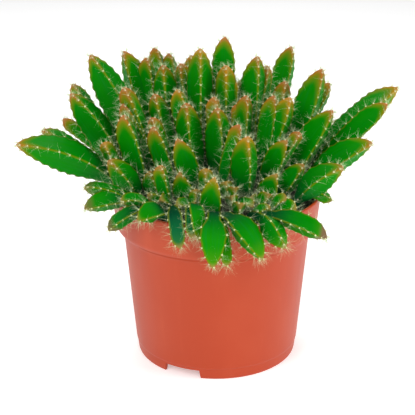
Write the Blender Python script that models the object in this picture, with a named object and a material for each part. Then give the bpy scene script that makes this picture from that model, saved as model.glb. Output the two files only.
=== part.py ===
"""A potted dragon fruit cactus.

Young three-ribbed stems stand close together in peat, in a round plastic nursery pot. The origin is
on the pot's axis at the height of the foot, +Z is up and -Y is the front. Lengths are written in
millimetres and multiplied by MM where they reach Blender.
"""

import math
import random
from collections import namedtuple

import bmesh
import bpy
import numpy as np
from mathutils import Vector
from mathutils.bvhtree import BVHTree

MM = 0.001

# The pot's driving dimensions
RIM_RADIUS = 60.0
POT_HEIGHT = 99.0
WALL = 1.5
POT_SIDES = 32
SHARP_ANGLE = 30.0

# The collar under the rim: how far it narrows down to its foot, and the step to the wall below it
COLLAR_FOOT = 77.5
COLLAR_FLARE = 1.5
COLLAR_STEP = 4.3
COLLAR_ROUND = 2.5
LIP_HEIGHT = 4.5
LIP_ROUND = 0.3

# The tapered wall, the foot ring and the raised floor
BODY_TAPER = 5.9
FOOT_HEIGHT = 6.6
FOOT_STEP = 0.5
FOOT_ROUND = 0.8
FOOT_WIDTH = 1.5
FLOOR_THICKNESS = 1.8
FLOOR_ROUND = 1.5

# Notches in the foot, as degrees from the front to the right, and holes in the floor
NOTCH_ANGLES = (-25.0, 155.0)
NOTCH_SPREAD = 13.0
NOTCH_SLOPE = 1.5
NOTCH_HEIGHT = 5.2
NOTCH_REACH = 6.0
DRAIN_RADIUS = 4.0
DRAIN_CIRCLE = 28.0
DRAIN_COUNT = 6
DRAIN_SIDES = 10
CUT_PAST = 2.0

# The peat
GAP = 0.35
SOIL_EDGE = 94.0
SOIL_DOME = 3.0
SOIL_BUMP = 0.4
SOIL_RINGS = (0.75, 0.35)
HOLE_DEPTH = 7.0
HOLE_SIDES = 5

# Where stems leave their root crown
CROWN_RADIUS = 3.0
CROWN_ABOVE = 4.0
STEM_START = 2.2
STEM_SPREAD = 0.6

# The lance shape of a stem: the width of its neck and where it is widest as shares, and its tip, which
# tapers over TIP_TAPER times its width squared, so a thin stem is blunter. A stem whose tip is no higher
# than LOW_TIP is blunter still and bends earlier, just past the rim. One with a long neck has a wider one.
NECK = 0.38
LONG_NECK = 0.5
WIDEST = 0.48
TIP_TAPER = 0.085
LOW_TAPER = 0.062
LOW_TIP = 104.0
TIP_SHARPNESS = 2.2
TIP_ROUNDNESS = 0.75
BEND_SHARE = 0.38
LOW_BEND_SHARE = 0.22
SIDE_CURVE = 0.10
TOWARDS_VIEWER = Vector((0.0, -1.0, 0.4))

# How crowded stems lean apart: each pass moves them by a share of their overlap, mostly along the line
# of sight. CLOSEST is the least distance of two centre lines, for each unit of their crest radii.
LINE_OF_SIGHT = np.array((0.0, 0.94, -0.34))
SIDEWAYS = 0.3
CLOSEST = 0.92
LEAN_PASSES = 60
LEAN_RATE = 0.35
LEAN_SHARES = np.linspace(0.1, 0.98, 10)

# The three-ribbed section: a width across two ribs for each unit from the centre to a crest, the
# depth of a valley, which is shallower at the root, and the scallops along a crest
WIDTH_TO_CREST = 1.73
VALLEY = 0.46
ROOT_VALLEY = 0.8
ROOT_SHARE = 0.3
SCALLOP = 0.04
RING_PITCH = 12.5
FEWEST_RINGS = 5
HANGING_RINGS = 2
LAST_RING = 0.93

# The needles
NEEDLE_LENGTH = 5.5
NEEDLE_VARIES = (0.8, 1.15)
NEEDLE_LEANS = (-0.3, 0.6)
NEEDLE_SWINGS = 0.7
NEEDLE_RADIUS = 0.28
NEEDLE_SUNK = 1.2
NEEDLE_PITCH = 15.0
NEEDLE_LOW = 0.14
NEEDLE_HIGH = 0.95
GOLDEN = 0.618
TIP_NEEDLE_LENGTH = 2.8
TIP_NEEDLE_SUNK = 2.4
NEEDLE_CLEAR = 0.6
NEEDLE_APART = 2.0

# tip is x, y, z; width is across the ribs; turn moves the rib that faces the front to the right, in
# degrees; arch lifts the middle of a stem and sway brings it forward; neck is the share of its length
# that stays narrow, long on the stems that hang over the rim
Stem = namedtuple("Stem", "tip width turn arch neck sway", defaults=(0.0, None, 0.0, 0.0))
Plant = namedtuple("Plant", "root stems")

PLANTS = [
    # back row, seen above the others
    Plant((-35, 35), [Stem((-56, 47, 169), 17.0, -15), Stem((-42, 44, 166), 11.0, 20)]),
    Plant((-20, 38), [Stem((-38, 62, 168), 9.5, 20), Stem((-29, 60, 165), 10.5, 20)]),
    Plant((-11, 36), [Stem((-15, 50, 166), 10.5, 10), Stem((-21, 33, 165), 11.0, -10)]),
    Plant((4, 37), [Stem((5, 42, 179), 14.0, 50)]),
    Plant((30, 36), [Stem((46, 65, 168), 14.0, 20)]),
    Plant((-47, 15), [Stem((-85, 38, 152), 11.0, 10), Stem((-89, 14, 137), 8.0, 40)]),
    # second row
    Plant((-40, 20), [Stem((-73, 18, 173), 19.5, 13)]),
    Plant((-26, 26), [Stem((-31, 25, 166), 15.0, 0)]),
    Plant((-9, 23), [Stem((-8, 24, 176), 15.5, 3)]),
    Plant((6, 22), [Stem((4, 20, 167), 13.0, 0), Stem((11, 27, 157), 8.0, 40)]),
    Plant((20, 27), [Stem((24, 26, 171), 16.0, 12), Stem((30, 36, 163), 10.0, 10)]),
    Plant((30, 17), [Stem((41, 30, 155), 11.0, 5)]),
    Plant((39, 20), [Stem((60, 20, 165), 16.5, 18), Stem((67, 34, 153), 11.5, 20)]),
    Plant((48, 13), [Stem((109, 42, 148), 15.0, 10, 11)]),
    # middle row
    Plant((-50, 5), [Stem((-84, 6, 153), 17.0, 15)]),
    Plant((-32, 9), [Stem((-53, 8, 157), 11.0, 10), Stem((-54, 5, 148), 10.0, 20)]),
    Plant((-21, 12), [Stem((-34, 14, 152), 12.5, 0)]),
    Plant((-11, 9), [Stem((-24, 14, 154), 12.0, 20), Stem((-16, 4, 149), 15.5, 0)]),
    Plant((1, 9), [Stem((-1, 14, 150), 9.5, 20), Stem((-1, 0, 147), 16.0, 10)]),
    Plant((13, 11), [Stem((17, 13, 151), 11.5, 15), Stem((11, 19, 145), 8.0, 40)]),
    Plant((26, 7), [Stem((33, 13, 151), 12.0, 20), Stem((42, 5, 152), 14.0, 15)]),
    Plant((40, 5), [Stem((66, 3, 145), 16.5, 20)]),
    Plant((51, 4), [Stem((98, 16, 145), 13.5, 30)]),
    # rows in front of the middle
    Plant((-50, -7), [Stem((-100, 4, 133), 11.0, 5, 8), Stem((-110, -24, 133), 19.5, 4, 16, 0.23),
                      Stem((-63, -14, 131), 8.0)]),
    Plant((-41, 0), [Stem((-52, -6, 145), 13.5, 25)]),
    Plant((-24, -2), [Stem((-36, -6, 138), 12.0, 25), Stem((-37, 2, 141), 9.0, 0)]),
    Plant((-12, -7), [Stem((-22, -12, 133), 13.0, 60)]),
    Plant((2, -8), [Stem((12, -1, 138), 8.5, 30)]),
    Plant((17, -17), [Stem((17, -26, 138), 16.0, 14)]),
    Plant((28, -4), [Stem((40, -10, 131), 12.5, 30), Stem((47, -7, 135), 7.5, 10)]),
    Plant((50, -5), [Stem((88, -8, 129), 16.5, 15, 11, 0.1)]),
    Plant((-44, -18), [Stem((-61, -24, 123), 15.5, 5)]),
    Plant((-36, -10), [Stem((-39, -14, 114), 11.0, 20)]),
    Plant((-17, -24), [Stem((-22, -31, 119), 12.5, 45)]),
    Plant((-6, -21), [Stem((-6, -26, 120), 8.5, 0)]),
    Plant((26, -18), [Stem((32, -25, 117), 13.0, 40)]),
    Plant((7, -19), [Stem((5, -25, 112), 8.0, 0), Stem((12, -27, 110), 7.5, 30)]),
    Plant((23, -29), [Stem((29, -37, 109), 8.0, 20), Stem((17, -37, 106), 7.0, 0)]),
    Plant((35, -14), [Stem((50, -18, 119), 12.5, 15)]),
    Plant((43, -23), [Stem((70, -27, 121), 16.5, 0, 8, 0.1), Stem((65, -19, 98), 7.0, 0, 14.5)]),
    # front row, over the rim
    Plant((-41, -31), [Stem((-74, -24, 108), 8.0, 0, 9), Stem((-73, -34, 99), 12.0, -18, 11.5, 0.34)]),
    Plant((-34, -38), [Stem((-52, -42, 106), 8.0, 0, 10), Stem((-59, -46, 91), 9.0, -10, 14.5, 0.35, 10)]),
    Plant((-25, -29), [Stem((-31, -38, 106), 7.5, 0, 4), Stem((-38, -34, 107), 7.0, 30, 4),
                       Stem((-30, -32, 124), 8.5, 20)]),
    Plant((-12, -36), [Stem((-22, -42, 104), 7.5, 0, 6), Stem((-12, -44, 105), 7.0, 40, 6),
                       Stem((-11, -37, 112), 8.5, 0)]),
    Plant((-25, -44), [Stem((-42, -57, 101), 12.5, -13, 12, 0.35, 9),
                       Stem((-19, -69, 90), 8.0, 60, 23, 0.45)]),
    Plant((-14, -47), [Stem((-13.5, -66, 95), 7.5, 40, 20, 0.4), Stem((-9, -67, 94), 9.0, 20, 24, 0.4)]),
    Plant((-3, -42), [Stem((-1, -46, 122), 13.0, 40, 0)]),
    Plant((-1, -51), [Stem((-2, -76, 82), 14.5, 60, 25, 0.53, 6), Stem((5, -72, 81), 7.0, 30, 23.5, 0.45, 3),
                      Stem((24, -75, 86), 14.5, 15, 20.5, 0.44, 6)]),
    Plant((9, -31), [Stem((8, -38, 108), 7.5, 0, 2), Stem((20, -42, 103), 7.0, 0, 6)]),
    Plant((11, -42), [Stem((13, -53, 109), 7.5, 10, 3)]),
    Plant((18, -48), [Stem((36, -71, 91), 12.5, -18, 17, 0.48, 3), Stem((29, -49, 106), 8.0, 0, 3),
                      Stem((59, -57, 91), 11.5, 18, 16.5, 0.44, 11)]),
    Plant((29, -41), [Stem((38, -44, 108), 7.5, 0, 8), Stem((43, -48, 104), 8.5, 20, 8, 0.2)]),
    # behind, hidden in a front view
    Plant((-44, 27), [Stem((-70, 58, 128), 13.0, 30, 12)]),
    Plant((-8, 48), [Stem((-14, 75, 120), 14.0, 20), Stem((-2, 74, 140), 10.0, 50)]),
    Plant((12, 46), [Stem((18, 75, 112), 13.0, 0, 20), Stem((17, 58, 150), 10.0, 30)]),
    Plant((-29, 41), [Stem((-46, 74, 108), 12.0, 10, 15)]),
    Plant((42, 29), [Stem((72, 60, 122), 14.0, 30, 17), Stem((86, 40, 112), 11.0, 20, 18)]),
    Plant((23, 45), [Stem((42, 74, 102), 11.0, 0, 15, 0.2)]),
]


def paint(name, colour, roughness):
    """A plain material with the colour and roughness of one part."""
    material = bpy.data.materials.new(name)
    material.use_nodes = True
    shader = material.node_tree.nodes["Principled BSDF"]
    shader.inputs["Base Color"].default_value = (*colour, 1.0)
    shader.inputs["Roughness"].default_value = roughness
    shader.inputs["Metallic"].default_value = 0.0
    material.diffuse_color = (*colour, 1.0)
    return material


def mesh_object(name, points, faces, material=None):
    """An object whose points are given in millimetres."""
    mesh = bpy.data.meshes.new(name)
    mesh.from_pydata([tuple(c * MM for c in point) for point in points], [], faces)
    mesh.update()
    item = bpy.data.objects.new(name, mesh)
    bpy.context.scene.collection.objects.link(item)
    if material:
        mesh.materials.append(material)
    return item


def remove(item):
    """Take an object and its mesh out of the file."""
    mesh = item.data
    bpy.data.objects.remove(item)
    bpy.data.meshes.remove(mesh)


def open_edges(mesh):
    """How many edges of a mesh don't join exactly two faces."""
    uses = {}
    for face in mesh.polygons:
        for key in face.edge_keys:
            uses[key] = uses.get(key, 0) + 1
    return sum(1 for count in uses.values() if count != 2)


def combine(item, others, operation):
    """One Boolean of an object with a collection of others, applied.

    The exact solver can leave a gap where several bodies meet in one place. The other one then closes
    the mesh.
    """
    group = bpy.data.collections.new("operands")
    bpy.context.scene.collection.children.link(group)
    for other in others:
        group.objects.link(other)
    modifier = item.modifiers.new("combine", "BOOLEAN")
    modifier.operation = operation
    modifier.operand_type = "COLLECTION"
    modifier.collection = group
    for solver in ("EXACT", "MANIFOLD"):
        modifier.solver = solver
        bpy.context.view_layer.update()
        evaluated = item.evaluated_get(bpy.context.evaluated_depsgraph_get())
        result = bpy.data.meshes.new_from_object(evaluated)
        if open_edges(result) == 0:
            break
    item.modifiers.clear()
    old = item.data
    item.data = result
    bpy.data.meshes.remove(old)
    for other in others:
        remove(other)
    bpy.data.collections.remove(group)


def keep_outer_shell(item):
    """Keep the shell with the most faces, without loose scraps and the walls of sealed hollows."""
    whole = bmesh.new()
    whole.from_mesh(item.data)
    unseen = set(whole.faces)
    shells = []
    while unseen:
        shell = [unseen.pop()]
        for face in shell:
            for edge in face.edges:
                for other in edge.link_faces:
                    if other in unseen:
                        unseen.remove(other)
                        shell.append(other)
        shells.append(shell)
    shells.sort(key=len)
    for shell in shells[:-1]:
        bmesh.ops.delete(whole, geom=shell, context="FACES")
    whole.to_mesh(item.data)
    whole.free()


def turned(name, profile, sides, material=None):
    """A solid of revolution; the profile runs from the axis to the axis."""
    points = []
    rings = []
    for radius, height in profile:
        if radius == 0.0:
            rings.append([len(points)] * sides)
            points.append((0.0, 0.0, height))
            continue
        rings.append([len(points) + k for k in range(sides)])
        for k in range(sides):
            angle = 2.0 * math.pi * k / sides
            points.append((radius * math.cos(angle), radius * math.sin(angle), height))
    faces = []
    for upper, lower in zip(rings, rings[1:]):
        for k in range(sides):
            j = (k + 1) % sides
            corners = [upper[k], lower[k], lower[j], upper[j]]
            faces.append(tuple(dict.fromkeys(corners)))
    return mesh_object(name, points, faces, material)


def column(name, centre, radius, bottom, top, sides, start=0.0):
    """An upright prism, used as a cutter and as a root crown."""
    points = []
    for height in (bottom, top):
        for k in range(sides):
            angle = start + 2.0 * math.pi * k / sides
            x = centre[0] + radius * math.cos(angle)
            y = centre[1] + radius * math.sin(angle)
            points.append((x, y, height))
    faces = [tuple(reversed(range(sides))), tuple(range(sides, 2 * sides))]
    for k in range(sides):
        j = (k + 1) % sides
        faces.append((k, j, sides + j, sides + k))
    return mesh_object(name, points, faces)


def body_radius(height):
    """Outer radius of the tapered wall between the foot and the collar."""
    top = RIM_RADIUS - COLLAR_FLARE - COLLAR_STEP
    return top - BODY_TAPER * (COLLAR_FOOT - height) / (COLLAR_FOOT - FOOT_HEIGHT)


def inner_wall():
    """The inside of the pot from the floor to just under the lip, as radius and height."""
    floor = FOOT_HEIGHT + FLOOR_THICKNESS
    corner = body_radius(floor) - WALL
    return [
        (corner - FLOOR_ROUND, floor),
        (corner, floor + FLOOR_ROUND),
        (body_radius(COLLAR_FOOT) - WALL, COLLAR_FOOT - WALL),
        (RIM_RADIUS - COLLAR_FLARE - WALL, COLLAR_FOOT + COLLAR_STEP - WALL),
        (RIM_RADIUS - WALL - LIP_ROUND, POT_HEIGHT - LIP_HEIGHT),
    ]


def build_pot(material):
    """The nursery pot: a collar, a tapered wall and a foot with notches."""
    collar = RIM_RADIUS - COLLAR_FLARE
    wall_top = body_radius(COLLAR_FOOT)
    wall_foot = body_radius(FOOT_HEIGHT)
    foot = body_radius(0.0) - FOOT_ROUND
    outside = [
        (RIM_RADIUS - WALL + LIP_ROUND, POT_HEIGHT),
        (RIM_RADIUS - LIP_ROUND, POT_HEIGHT),
        (RIM_RADIUS + LIP_ROUND, POT_HEIGHT - 2.0 * LIP_ROUND),
        (RIM_RADIUS, POT_HEIGHT - LIP_HEIGHT),
        (collar, COLLAR_FOOT + COLLAR_ROUND),
        (collar - 0.4 * COLLAR_ROUND, COLLAR_FOOT + 0.2 * COLLAR_ROUND),
        (wall_top + 0.4 * COLLAR_ROUND, COLLAR_FOOT - 0.3 * COLLAR_ROUND),
        (wall_top, COLLAR_FOOT - COLLAR_ROUND),
        (wall_foot, FOOT_HEIGHT + FOOT_STEP),
        (wall_foot - FOOT_STEP, FOOT_HEIGHT),
        (foot + 0.5 * FOOT_ROUND, 1.5 * FOOT_ROUND),
        (foot, 0.0),
        (foot - FOOT_WIDTH, 0.0),
        (foot - FOOT_WIDTH - LIP_ROUND, FOOT_HEIGHT),
    ]
    floor = FOOT_HEIGHT + FLOOR_THICKNESS
    profile = [(0.0, floor)] + inner_wall() + outside + [(0.0, FOOT_HEIGHT)]
    profile.reverse()
    pot = turned("pot", profile, POT_SIDES, material)
    centres = [(0.0, 0.0)]
    for number in range(DRAIN_COUNT):
        angle = 2.0 * math.pi * number / DRAIN_COUNT
        centres.append((DRAIN_CIRCLE * math.cos(angle), DRAIN_CIRCLE * math.sin(angle)))
    cutters = [notch(angle) for angle in NOTCH_ANGLES]
    for centre in centres:
        low = FOOT_HEIGHT - CUT_PAST
        cutters.append(column("drain", centre, DRAIN_RADIUS, low, floor + CUT_PAST, DRAIN_SIDES))
    combine(pot, cutters, "DIFFERENCE")
    return pot


def notch(angle):
    """A wedge that opens the foot; angle is measured from the front, to the right."""
    near = body_radius(0.0) - NOTCH_REACH
    far = body_radius(0.0) + NOTCH_REACH
    wide = NOTCH_SPREAD + NOTCH_SLOPE
    sides = [(-wide, -CUT_PAST), (wide, -CUT_PAST),
             (NOTCH_SPREAD, NOTCH_HEIGHT), (-NOTCH_SPREAD, NOTCH_HEIGHT)]
    points = []
    for radius in (near, far):
        for spread, height in sides:
            turn = math.radians(angle + spread)
            points.append((radius * math.sin(turn), -radius * math.cos(turn), height))
    faces = [(3, 2, 1, 0), (4, 5, 6, 7)]
    for k in range(4):
        j = (k + 1) % 4
        faces.append((k, j, 4 + j, 4 + k))
    return mesh_object("notch", points, faces)


def soil_height(x, y):
    """The peat's surface: a low dome with shallow bumps."""
    share = min(1.0, math.hypot(x, y) / RIM_RADIUS)
    bump = SOIL_BUMP * math.sin(x / 3.2) * math.cos(y / 3.7)
    return SOIL_EDGE + SOIL_DOME * (1.0 - share * share) + bump * (1.0 - share)


def build_soil(material):
    """The peat plug, a little smaller than the pot's inside, with a hole for each plant."""
    wall = [(radius - GAP, height + GAP) for radius, height in inner_wall()[:-1]]
    wall.append((inner_wall()[-1][0] - GAP, SOIL_EDGE))
    edge_radius = wall[-1][0]
    top = [(edge_radius * share, 0.0) for share in (*SOIL_RINGS, 0.0)]
    profile = [(0.0, wall[0][1])] + wall + top
    soil = turned("soil", profile, POT_SIDES, material)
    for vertex in soil.data.vertices:
        if vertex.co.z == 0.0:
            x, y = vertex.co.x / MM, vertex.co.y / MM
            vertex.co.z = soil_height(x, y) * MM
    holes = []
    for plant in PLANTS:
        ground = soil_height(*plant.root)
        radius = CROWN_RADIUS + GAP / math.cos(math.pi / HOLE_SIDES)
        bottom = ground - HOLE_DEPTH - GAP
        top = ground + CROWN_ABOVE
        holes.append(column("hole", plant.root, radius, bottom, top, HOLE_SIDES))
    combine(soil, holes, "DIFFERENCE")
    return soil


def girth(share, neck, taper):
    """Half width of a stem along its length, as a share of its widest: a blunt lance shape."""
    rise = min(1.0, max(0.0, share - neck) / ((1.0 - neck) * WIDEST))
    narrow = LONG_NECK if neck > 0.3 else NECK
    swell = narrow + (1.0 - narrow) * math.sin(0.5 * math.pi * rise)
    left = min(1.0, (1.0 - share) / taper)
    return swell * (1.0 - (1.0 - left) ** TIP_SHARPNESS) ** TIP_ROUNDNESS


class Axis:
    """The centre line of one stem: a quadratic curve that carries its section without twist."""

    def __init__(self, stem, root, bend, tip):
        self.stem = stem
        self.root = Vector(root)
        self.bend = Vector(bend)
        self.tip = Vector(tip)
        self.turn = math.radians(stem.turn)
        taper = LOW_TAPER if stem.tip[2] <= LOW_TIP else TIP_TAPER
        self.taper = taper * stem.width**2 / self.length()
        self.middle = self.direction(0.5)
        facing = TOWARDS_VIEWER - self.middle * TOWARDS_VIEWER.dot(self.middle)
        self.facing = facing.normalized()

    def point(self, share):
        rest = 1.0 - share
        return self.root * rest * rest + self.bend * 2.0 * share * rest + self.tip * share * share

    def direction(self, share):
        slope = (self.bend - self.root) * (1.0 - share) + (self.tip - self.bend) * share
        return slope.normalized()

    def across(self, share, angle):
        along = self.direction(share)
        out = self.middle.rotation_difference(along) @ self.facing
        side = along.cross(out)
        return out * math.cos(angle + self.turn) + side * math.sin(angle + self.turn)

    def crest_radius(self, share):
        return self.stem.width / WIDTH_TO_CREST * girth(share, self.stem.neck, self.taper)

    def length(self):
        marks = [self.point(k / 8.0) for k in range(9)]
        return sum((b - a).length for a, b in zip(marks, marks[1:]))


def stem_axes(plant):
    """Each stem's centre line, which rises from the root crown and bends to the tip."""
    centre = Vector((*plant.root, soil_height(*plant.root) + STEM_START))
    axes = []
    for stem in plant.stems:
        tip = Vector(stem.tip)
        lean = Vector((tip.x - centre.x, tip.y - centre.y, 0.0))
        root = centre + lean.normalized() * STEM_SPREAD
        arch = stem.arch if stem.arch is not None else SIDE_CURVE * (tip - root).length
        along = LOW_BEND_SHARE if tip.z <= LOW_TIP else BEND_SHARE
        bend = root.lerp(tip, along) + Vector((0.0, -stem.sway, arch))
        axes.append(Axis(stem, root, bend, tip))
    return axes


def lean_apart(grown):
    """Lean the stems of different plants apart where they crowd each other.

    A stem whose arch is given hangs over the rim and keeps its place.
    """
    axes = [axis for plant in grown for axis in plant]
    owner = np.repeat(np.arange(len(grown)), [len(plant) for plant in grown])
    count = len(LEAN_SHARES)
    near = (owner[:, None] != owner[None, :]).repeat(count, 0).repeat(count, 1)
    radius = np.array([[axis.crest_radius(share) for share in LEAN_SHARES] for axis in axes]).ravel()
    least = CLOSEST * (radius[:, None] + radius[None, :])
    free = np.array([[axis.stem.arch is None] for axis in axes], dtype=float)
    parts = [(1.0 - LEAN_SHARES) ** 2, 2.0 * LEAN_SHARES * (1.0 - LEAN_SHARES), LEAN_SHARES**2]
    ends = [np.array([getattr(axis, name) for axis in axes]) for name in ("root", "bend", "tip")]
    for _ in range(LEAN_PASSES):
        marks = sum(end[:, None] * part[None, :, None] for end, part in zip(ends, parts))
        marks = marks.reshape(-1, 3)
        apart = marks[:, None] - marks[None]
        distance = np.linalg.norm(apart, axis=2) + 1e-6
        overlap = np.where(near, np.clip(least - distance, 0.0, None), 0.0)
        push = (apart * (overlap / distance)[:, :, None]).sum(axis=1)
        sight = (push @ LINE_OF_SIGHT)[:, None] * LINE_OF_SIGHT
        push = (SIDEWAYS * push + (1.0 - SIDEWAYS) * sight).reshape(-1, count, 3) * LEAN_RATE
        for end, part in zip(ends[1:], parts[1:]):
            end += (push * part[None, :, None]).sum(axis=1) * free
    moved = iter(zip(*ends))
    return [[Axis(axis.stem, *next(moved)) for axis in plant] for plant in grown]


def ring_count(axis):
    """How many rings of points make a stem; one that hangs over the rim bends more and has more."""
    count = round(axis.length() / RING_PITCH) + 1
    if axis.stem.neck > 0.0:
        count += HANGING_RINGS
    return max(FEWEST_RINGS, count)


def ring_point(axis, ring, rings, side):
    """One of the six points of a ring: even sides are rib crests, odd sides are valleys."""
    share = LAST_RING * ring / (rings - 1)
    radius = axis.crest_radius(share)
    if side % 2 == 0:
        radius *= 1.0 + (SCALLOP if ring % 2 else -SCALLOP)
    else:
        radius *= VALLEY + (ROOT_VALLEY - VALLEY) * max(0.0, 1.0 - share / ROOT_SHARE)
    return axis.point(share) + axis.across(share, math.pi * side / 3.0) * radius


def stem_body(axis):
    """A three-ribbed stem with scalloped crests, as points and faces."""
    rings = ring_count(axis)
    points = [ring_point(axis, ring, rings, side) for ring in range(rings) for side in range(6)]
    faces = [tuple(reversed(range(6)))]
    for ring in range(rings - 1):
        for k in range(6):
            j = (k + 1) % 6
            low = 6 * ring
            faces.append((low + k, low + j, low + 6 + j, low + 6 + k))
    last = 6 * (rings - 1)
    points.append(axis.tip)
    for k in range(6):
        faces.append((last + k, last + (k + 1) % 6, len(points) - 1))
    return points, faces


def needle_body(base, tip):
    """A three-sided needle whose foot is sunk in the stem."""
    along = (tip - base).normalized()
    side = along.orthogonal().normalized()
    other = along.cross(side)
    points = []
    for k in range(3):
        angle = 2.0 * math.pi * k / 3.0
        points.append(base + (side * math.cos(angle) + other * math.sin(angle)) * NEEDLE_RADIUS)
    points.append(tip)
    return points, [(2, 1, 0), (0, 1, 3), (1, 2, 3), (2, 0, 3)]


def needle_lines(axis, draw):
    """Where needles could stand on one stem: every rib in turn, from the neck to the tip."""
    lines = []
    rings = ring_count(axis)
    start = draw.random()
    for number in range(max(2, round(axis.length() / NEEDLE_PITCH))):
        place = NEEDLE_LOW + (NEEDLE_HIGH - NEEDLE_LOW) * ((start + number * GOLDEN) % 1.0)
        ring, part = divmod(place * (rings - 1), 1.0)
        side = 2 * (number % 3)
        share = LAST_RING * place
        low = ring_point(axis, int(ring), rings, side)
        high = ring_point(axis, int(ring) + 1, rings, side)
        crest = low.lerp(high, part)
        angle = math.pi * side / 3.0
        out = axis.across(share, angle)
        lean = axis.direction(share) * draw.uniform(*NEEDLE_LEANS)
        swing = axis.across(share, angle + math.pi / 2.0)
        swing *= draw.uniform(-NEEDLE_SWINGS, NEEDLE_SWINGS)
        ahead = (out + lean + swing).normalized()
        length = NEEDLE_LENGTH * draw.uniform(*NEEDLE_VARIES)
        lines.append((crest - out * NEEDLE_SUNK, crest + ahead * length))
    along = axis.direction(1.0)
    ahead = (along + axis.across(1.0, draw.uniform(0.0, 2.0 * math.pi)) * 0.5).normalized()
    lines.append((axis.tip - along * TIP_NEEDLE_SUNK, axis.tip + ahead * TIP_NEEDLE_LENGTH))
    return lines


def line_marks(line):
    """Samples along the part of a needle that stands free."""
    base, tip = line
    return [base.lerp(tip, share) for share in (0.3, 0.45, 0.6, 0.75, 0.88, 1.0)]


def tree_of(points, faces):
    """A search tree of one body, in millimetres."""
    return BVHTree.FromPolygons([tuple(point) for point in points], faces)


def clear_needles(grown, others):
    """The needles of each plant that stay clear of every other plant, the pot and the peat."""
    trees = []
    for axes in grown:
        trees.append([tree_of(*stem_body(axis)) for axis in axes])
    kept = []
    used = []
    for number, axes in enumerate(grown):
        draw = random.Random(number)
        mine = []
        for axis in axes:
            for line in needle_lines(axis, draw):
                marks = line_marks(line)
                near = list(others)
                for index, group in enumerate(trees):
                    if index != number:
                        near += group
                mates = [mate for owner, mate in used if owner != number]
                blocked = any(tree.find_nearest(mark, NEEDLE_CLEAR)[0] for tree in near for mark in marks)
                crossed = any((mark - mate).length < NEEDLE_APART for mark in marks for mate in mates)
                if not blocked and not crossed:
                    mine.append(line)
                    used += [(number, mark) for mark in marks]
        kept.append(mine)
    return kept


def build_plant(name, plant, axes, needles, material):
    """One plant: its root crown, its stems and their needles, joined in one body."""
    ground = soil_height(*plant.root)
    crown = column(name, plant.root, CROWN_RADIUS, ground - HOLE_DEPTH, ground + CROWN_ABOVE, HOLE_SIDES)
    crown.data.materials.append(material)
    parts = []
    for axis in axes:
        parts.append(mesh_object("stem", *stem_body(axis)))
    for base, tip in needles:
        parts.append(mesh_object("needle", *needle_body(base, tip)))
    combine(crown, parts, "UNION")
    keep_outer_shell(crown)
    return crown


def object_tree(item):
    """A search tree of a finished object, in millimetres."""
    points = [tuple(vertex.co / MM) for vertex in item.data.vertices]
    faces = [tuple(face.vertices) for face in item.data.polygons]
    return BVHTree.FromPolygons(points, faces)


def smooth(item, angle):
    """Shade an object smooth except across its sharp edges."""
    item.data.shade_smooth()
    item.data.set_sharp_from_angle(angle=math.radians(angle))


def build():
    for item in list(bpy.data.objects):
        bpy.data.objects.remove(item)
    plastic = paint("terracotta_plastic", (0.58, 0.10, 0.04), 0.45)
    peat = paint("peat", (0.025, 0.018, 0.014), 0.95)
    flesh = paint("cactus_flesh", (0.02, 0.22, 0.015), 0.5)
    pot = build_pot(plastic)
    soil = build_soil(peat)
    smooth(pot, SHARP_ANGLE)
    grown = lean_apart([stem_axes(plant) for plant in PLANTS])
    needles = clear_needles(grown, [object_tree(pot), object_tree(soil)])
    for number, plant in enumerate(PLANTS):
        name = f"plant_{number + 1:02d}"
        build_plant(name, plant, grown[number], needles[number], flesh)


if __name__ == "__main__":
    build()
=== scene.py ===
# %% [markdown]
# # A potted dragon fruit cactus
#
# This lesson dresses a small houseplant: about ninety young three-ribbed stems, crowded together in
# peat, in a round plastic nursery pot. The plain solids of the pot, the peat and each plant already
# exist and stay fixed. Here each of them gets a finer piece of the same form, and then its skin, wool
# and bristles. All lengths are written in millimetres and multiplied by MM where Blender needs metres.

import math
import random
from collections import namedtuple

import bpy
import numpy as np
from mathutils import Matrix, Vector, noise


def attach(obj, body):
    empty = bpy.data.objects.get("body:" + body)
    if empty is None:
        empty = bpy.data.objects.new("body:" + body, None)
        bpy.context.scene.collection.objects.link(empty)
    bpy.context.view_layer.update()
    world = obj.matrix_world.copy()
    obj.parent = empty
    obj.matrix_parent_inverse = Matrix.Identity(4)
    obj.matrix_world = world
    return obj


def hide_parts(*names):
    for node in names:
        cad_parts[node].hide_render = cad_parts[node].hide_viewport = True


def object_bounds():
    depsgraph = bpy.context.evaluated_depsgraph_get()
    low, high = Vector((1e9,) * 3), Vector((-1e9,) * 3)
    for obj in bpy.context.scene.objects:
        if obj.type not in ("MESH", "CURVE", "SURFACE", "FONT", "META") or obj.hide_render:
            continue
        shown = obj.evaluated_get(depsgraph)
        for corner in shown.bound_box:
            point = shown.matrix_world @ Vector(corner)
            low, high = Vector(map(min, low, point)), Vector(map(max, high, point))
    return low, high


MM = 0.001

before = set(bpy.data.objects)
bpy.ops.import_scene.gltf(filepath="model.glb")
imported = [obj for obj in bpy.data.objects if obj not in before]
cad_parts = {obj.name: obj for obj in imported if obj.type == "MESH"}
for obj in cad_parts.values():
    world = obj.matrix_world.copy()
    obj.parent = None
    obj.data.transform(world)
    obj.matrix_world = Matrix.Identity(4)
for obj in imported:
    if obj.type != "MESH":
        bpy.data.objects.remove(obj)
cad_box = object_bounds()
print("nodes in the frame:", len(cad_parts))
print("their box, in metres:", [[round(c, 4) for c in corner] for corner in cad_box])

# %% [markdown]
# ## Camera and studio
#
# The picture was taken from above the rim, so the camera looks down by about 21 degrees with a fairly
# long lens. Its distance and lens could be tuned by eye, but here they come from the pot's rings. How
# narrow the ellipse of a ring is tells the angle at which the eye looks at it, and how much that
# changes from the rim to the foot tells how near the eye is.

# %% The camera
CAMERA_PLACE = (0.0, -600.0, 315.0)
CAMERA_PITCH = 20.8
FOCAL_PIXELS = 1100.0
FRAME_PIXELS = 415.0
AXIS_PIXEL = 216.5
SENSOR = 36.0

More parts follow.
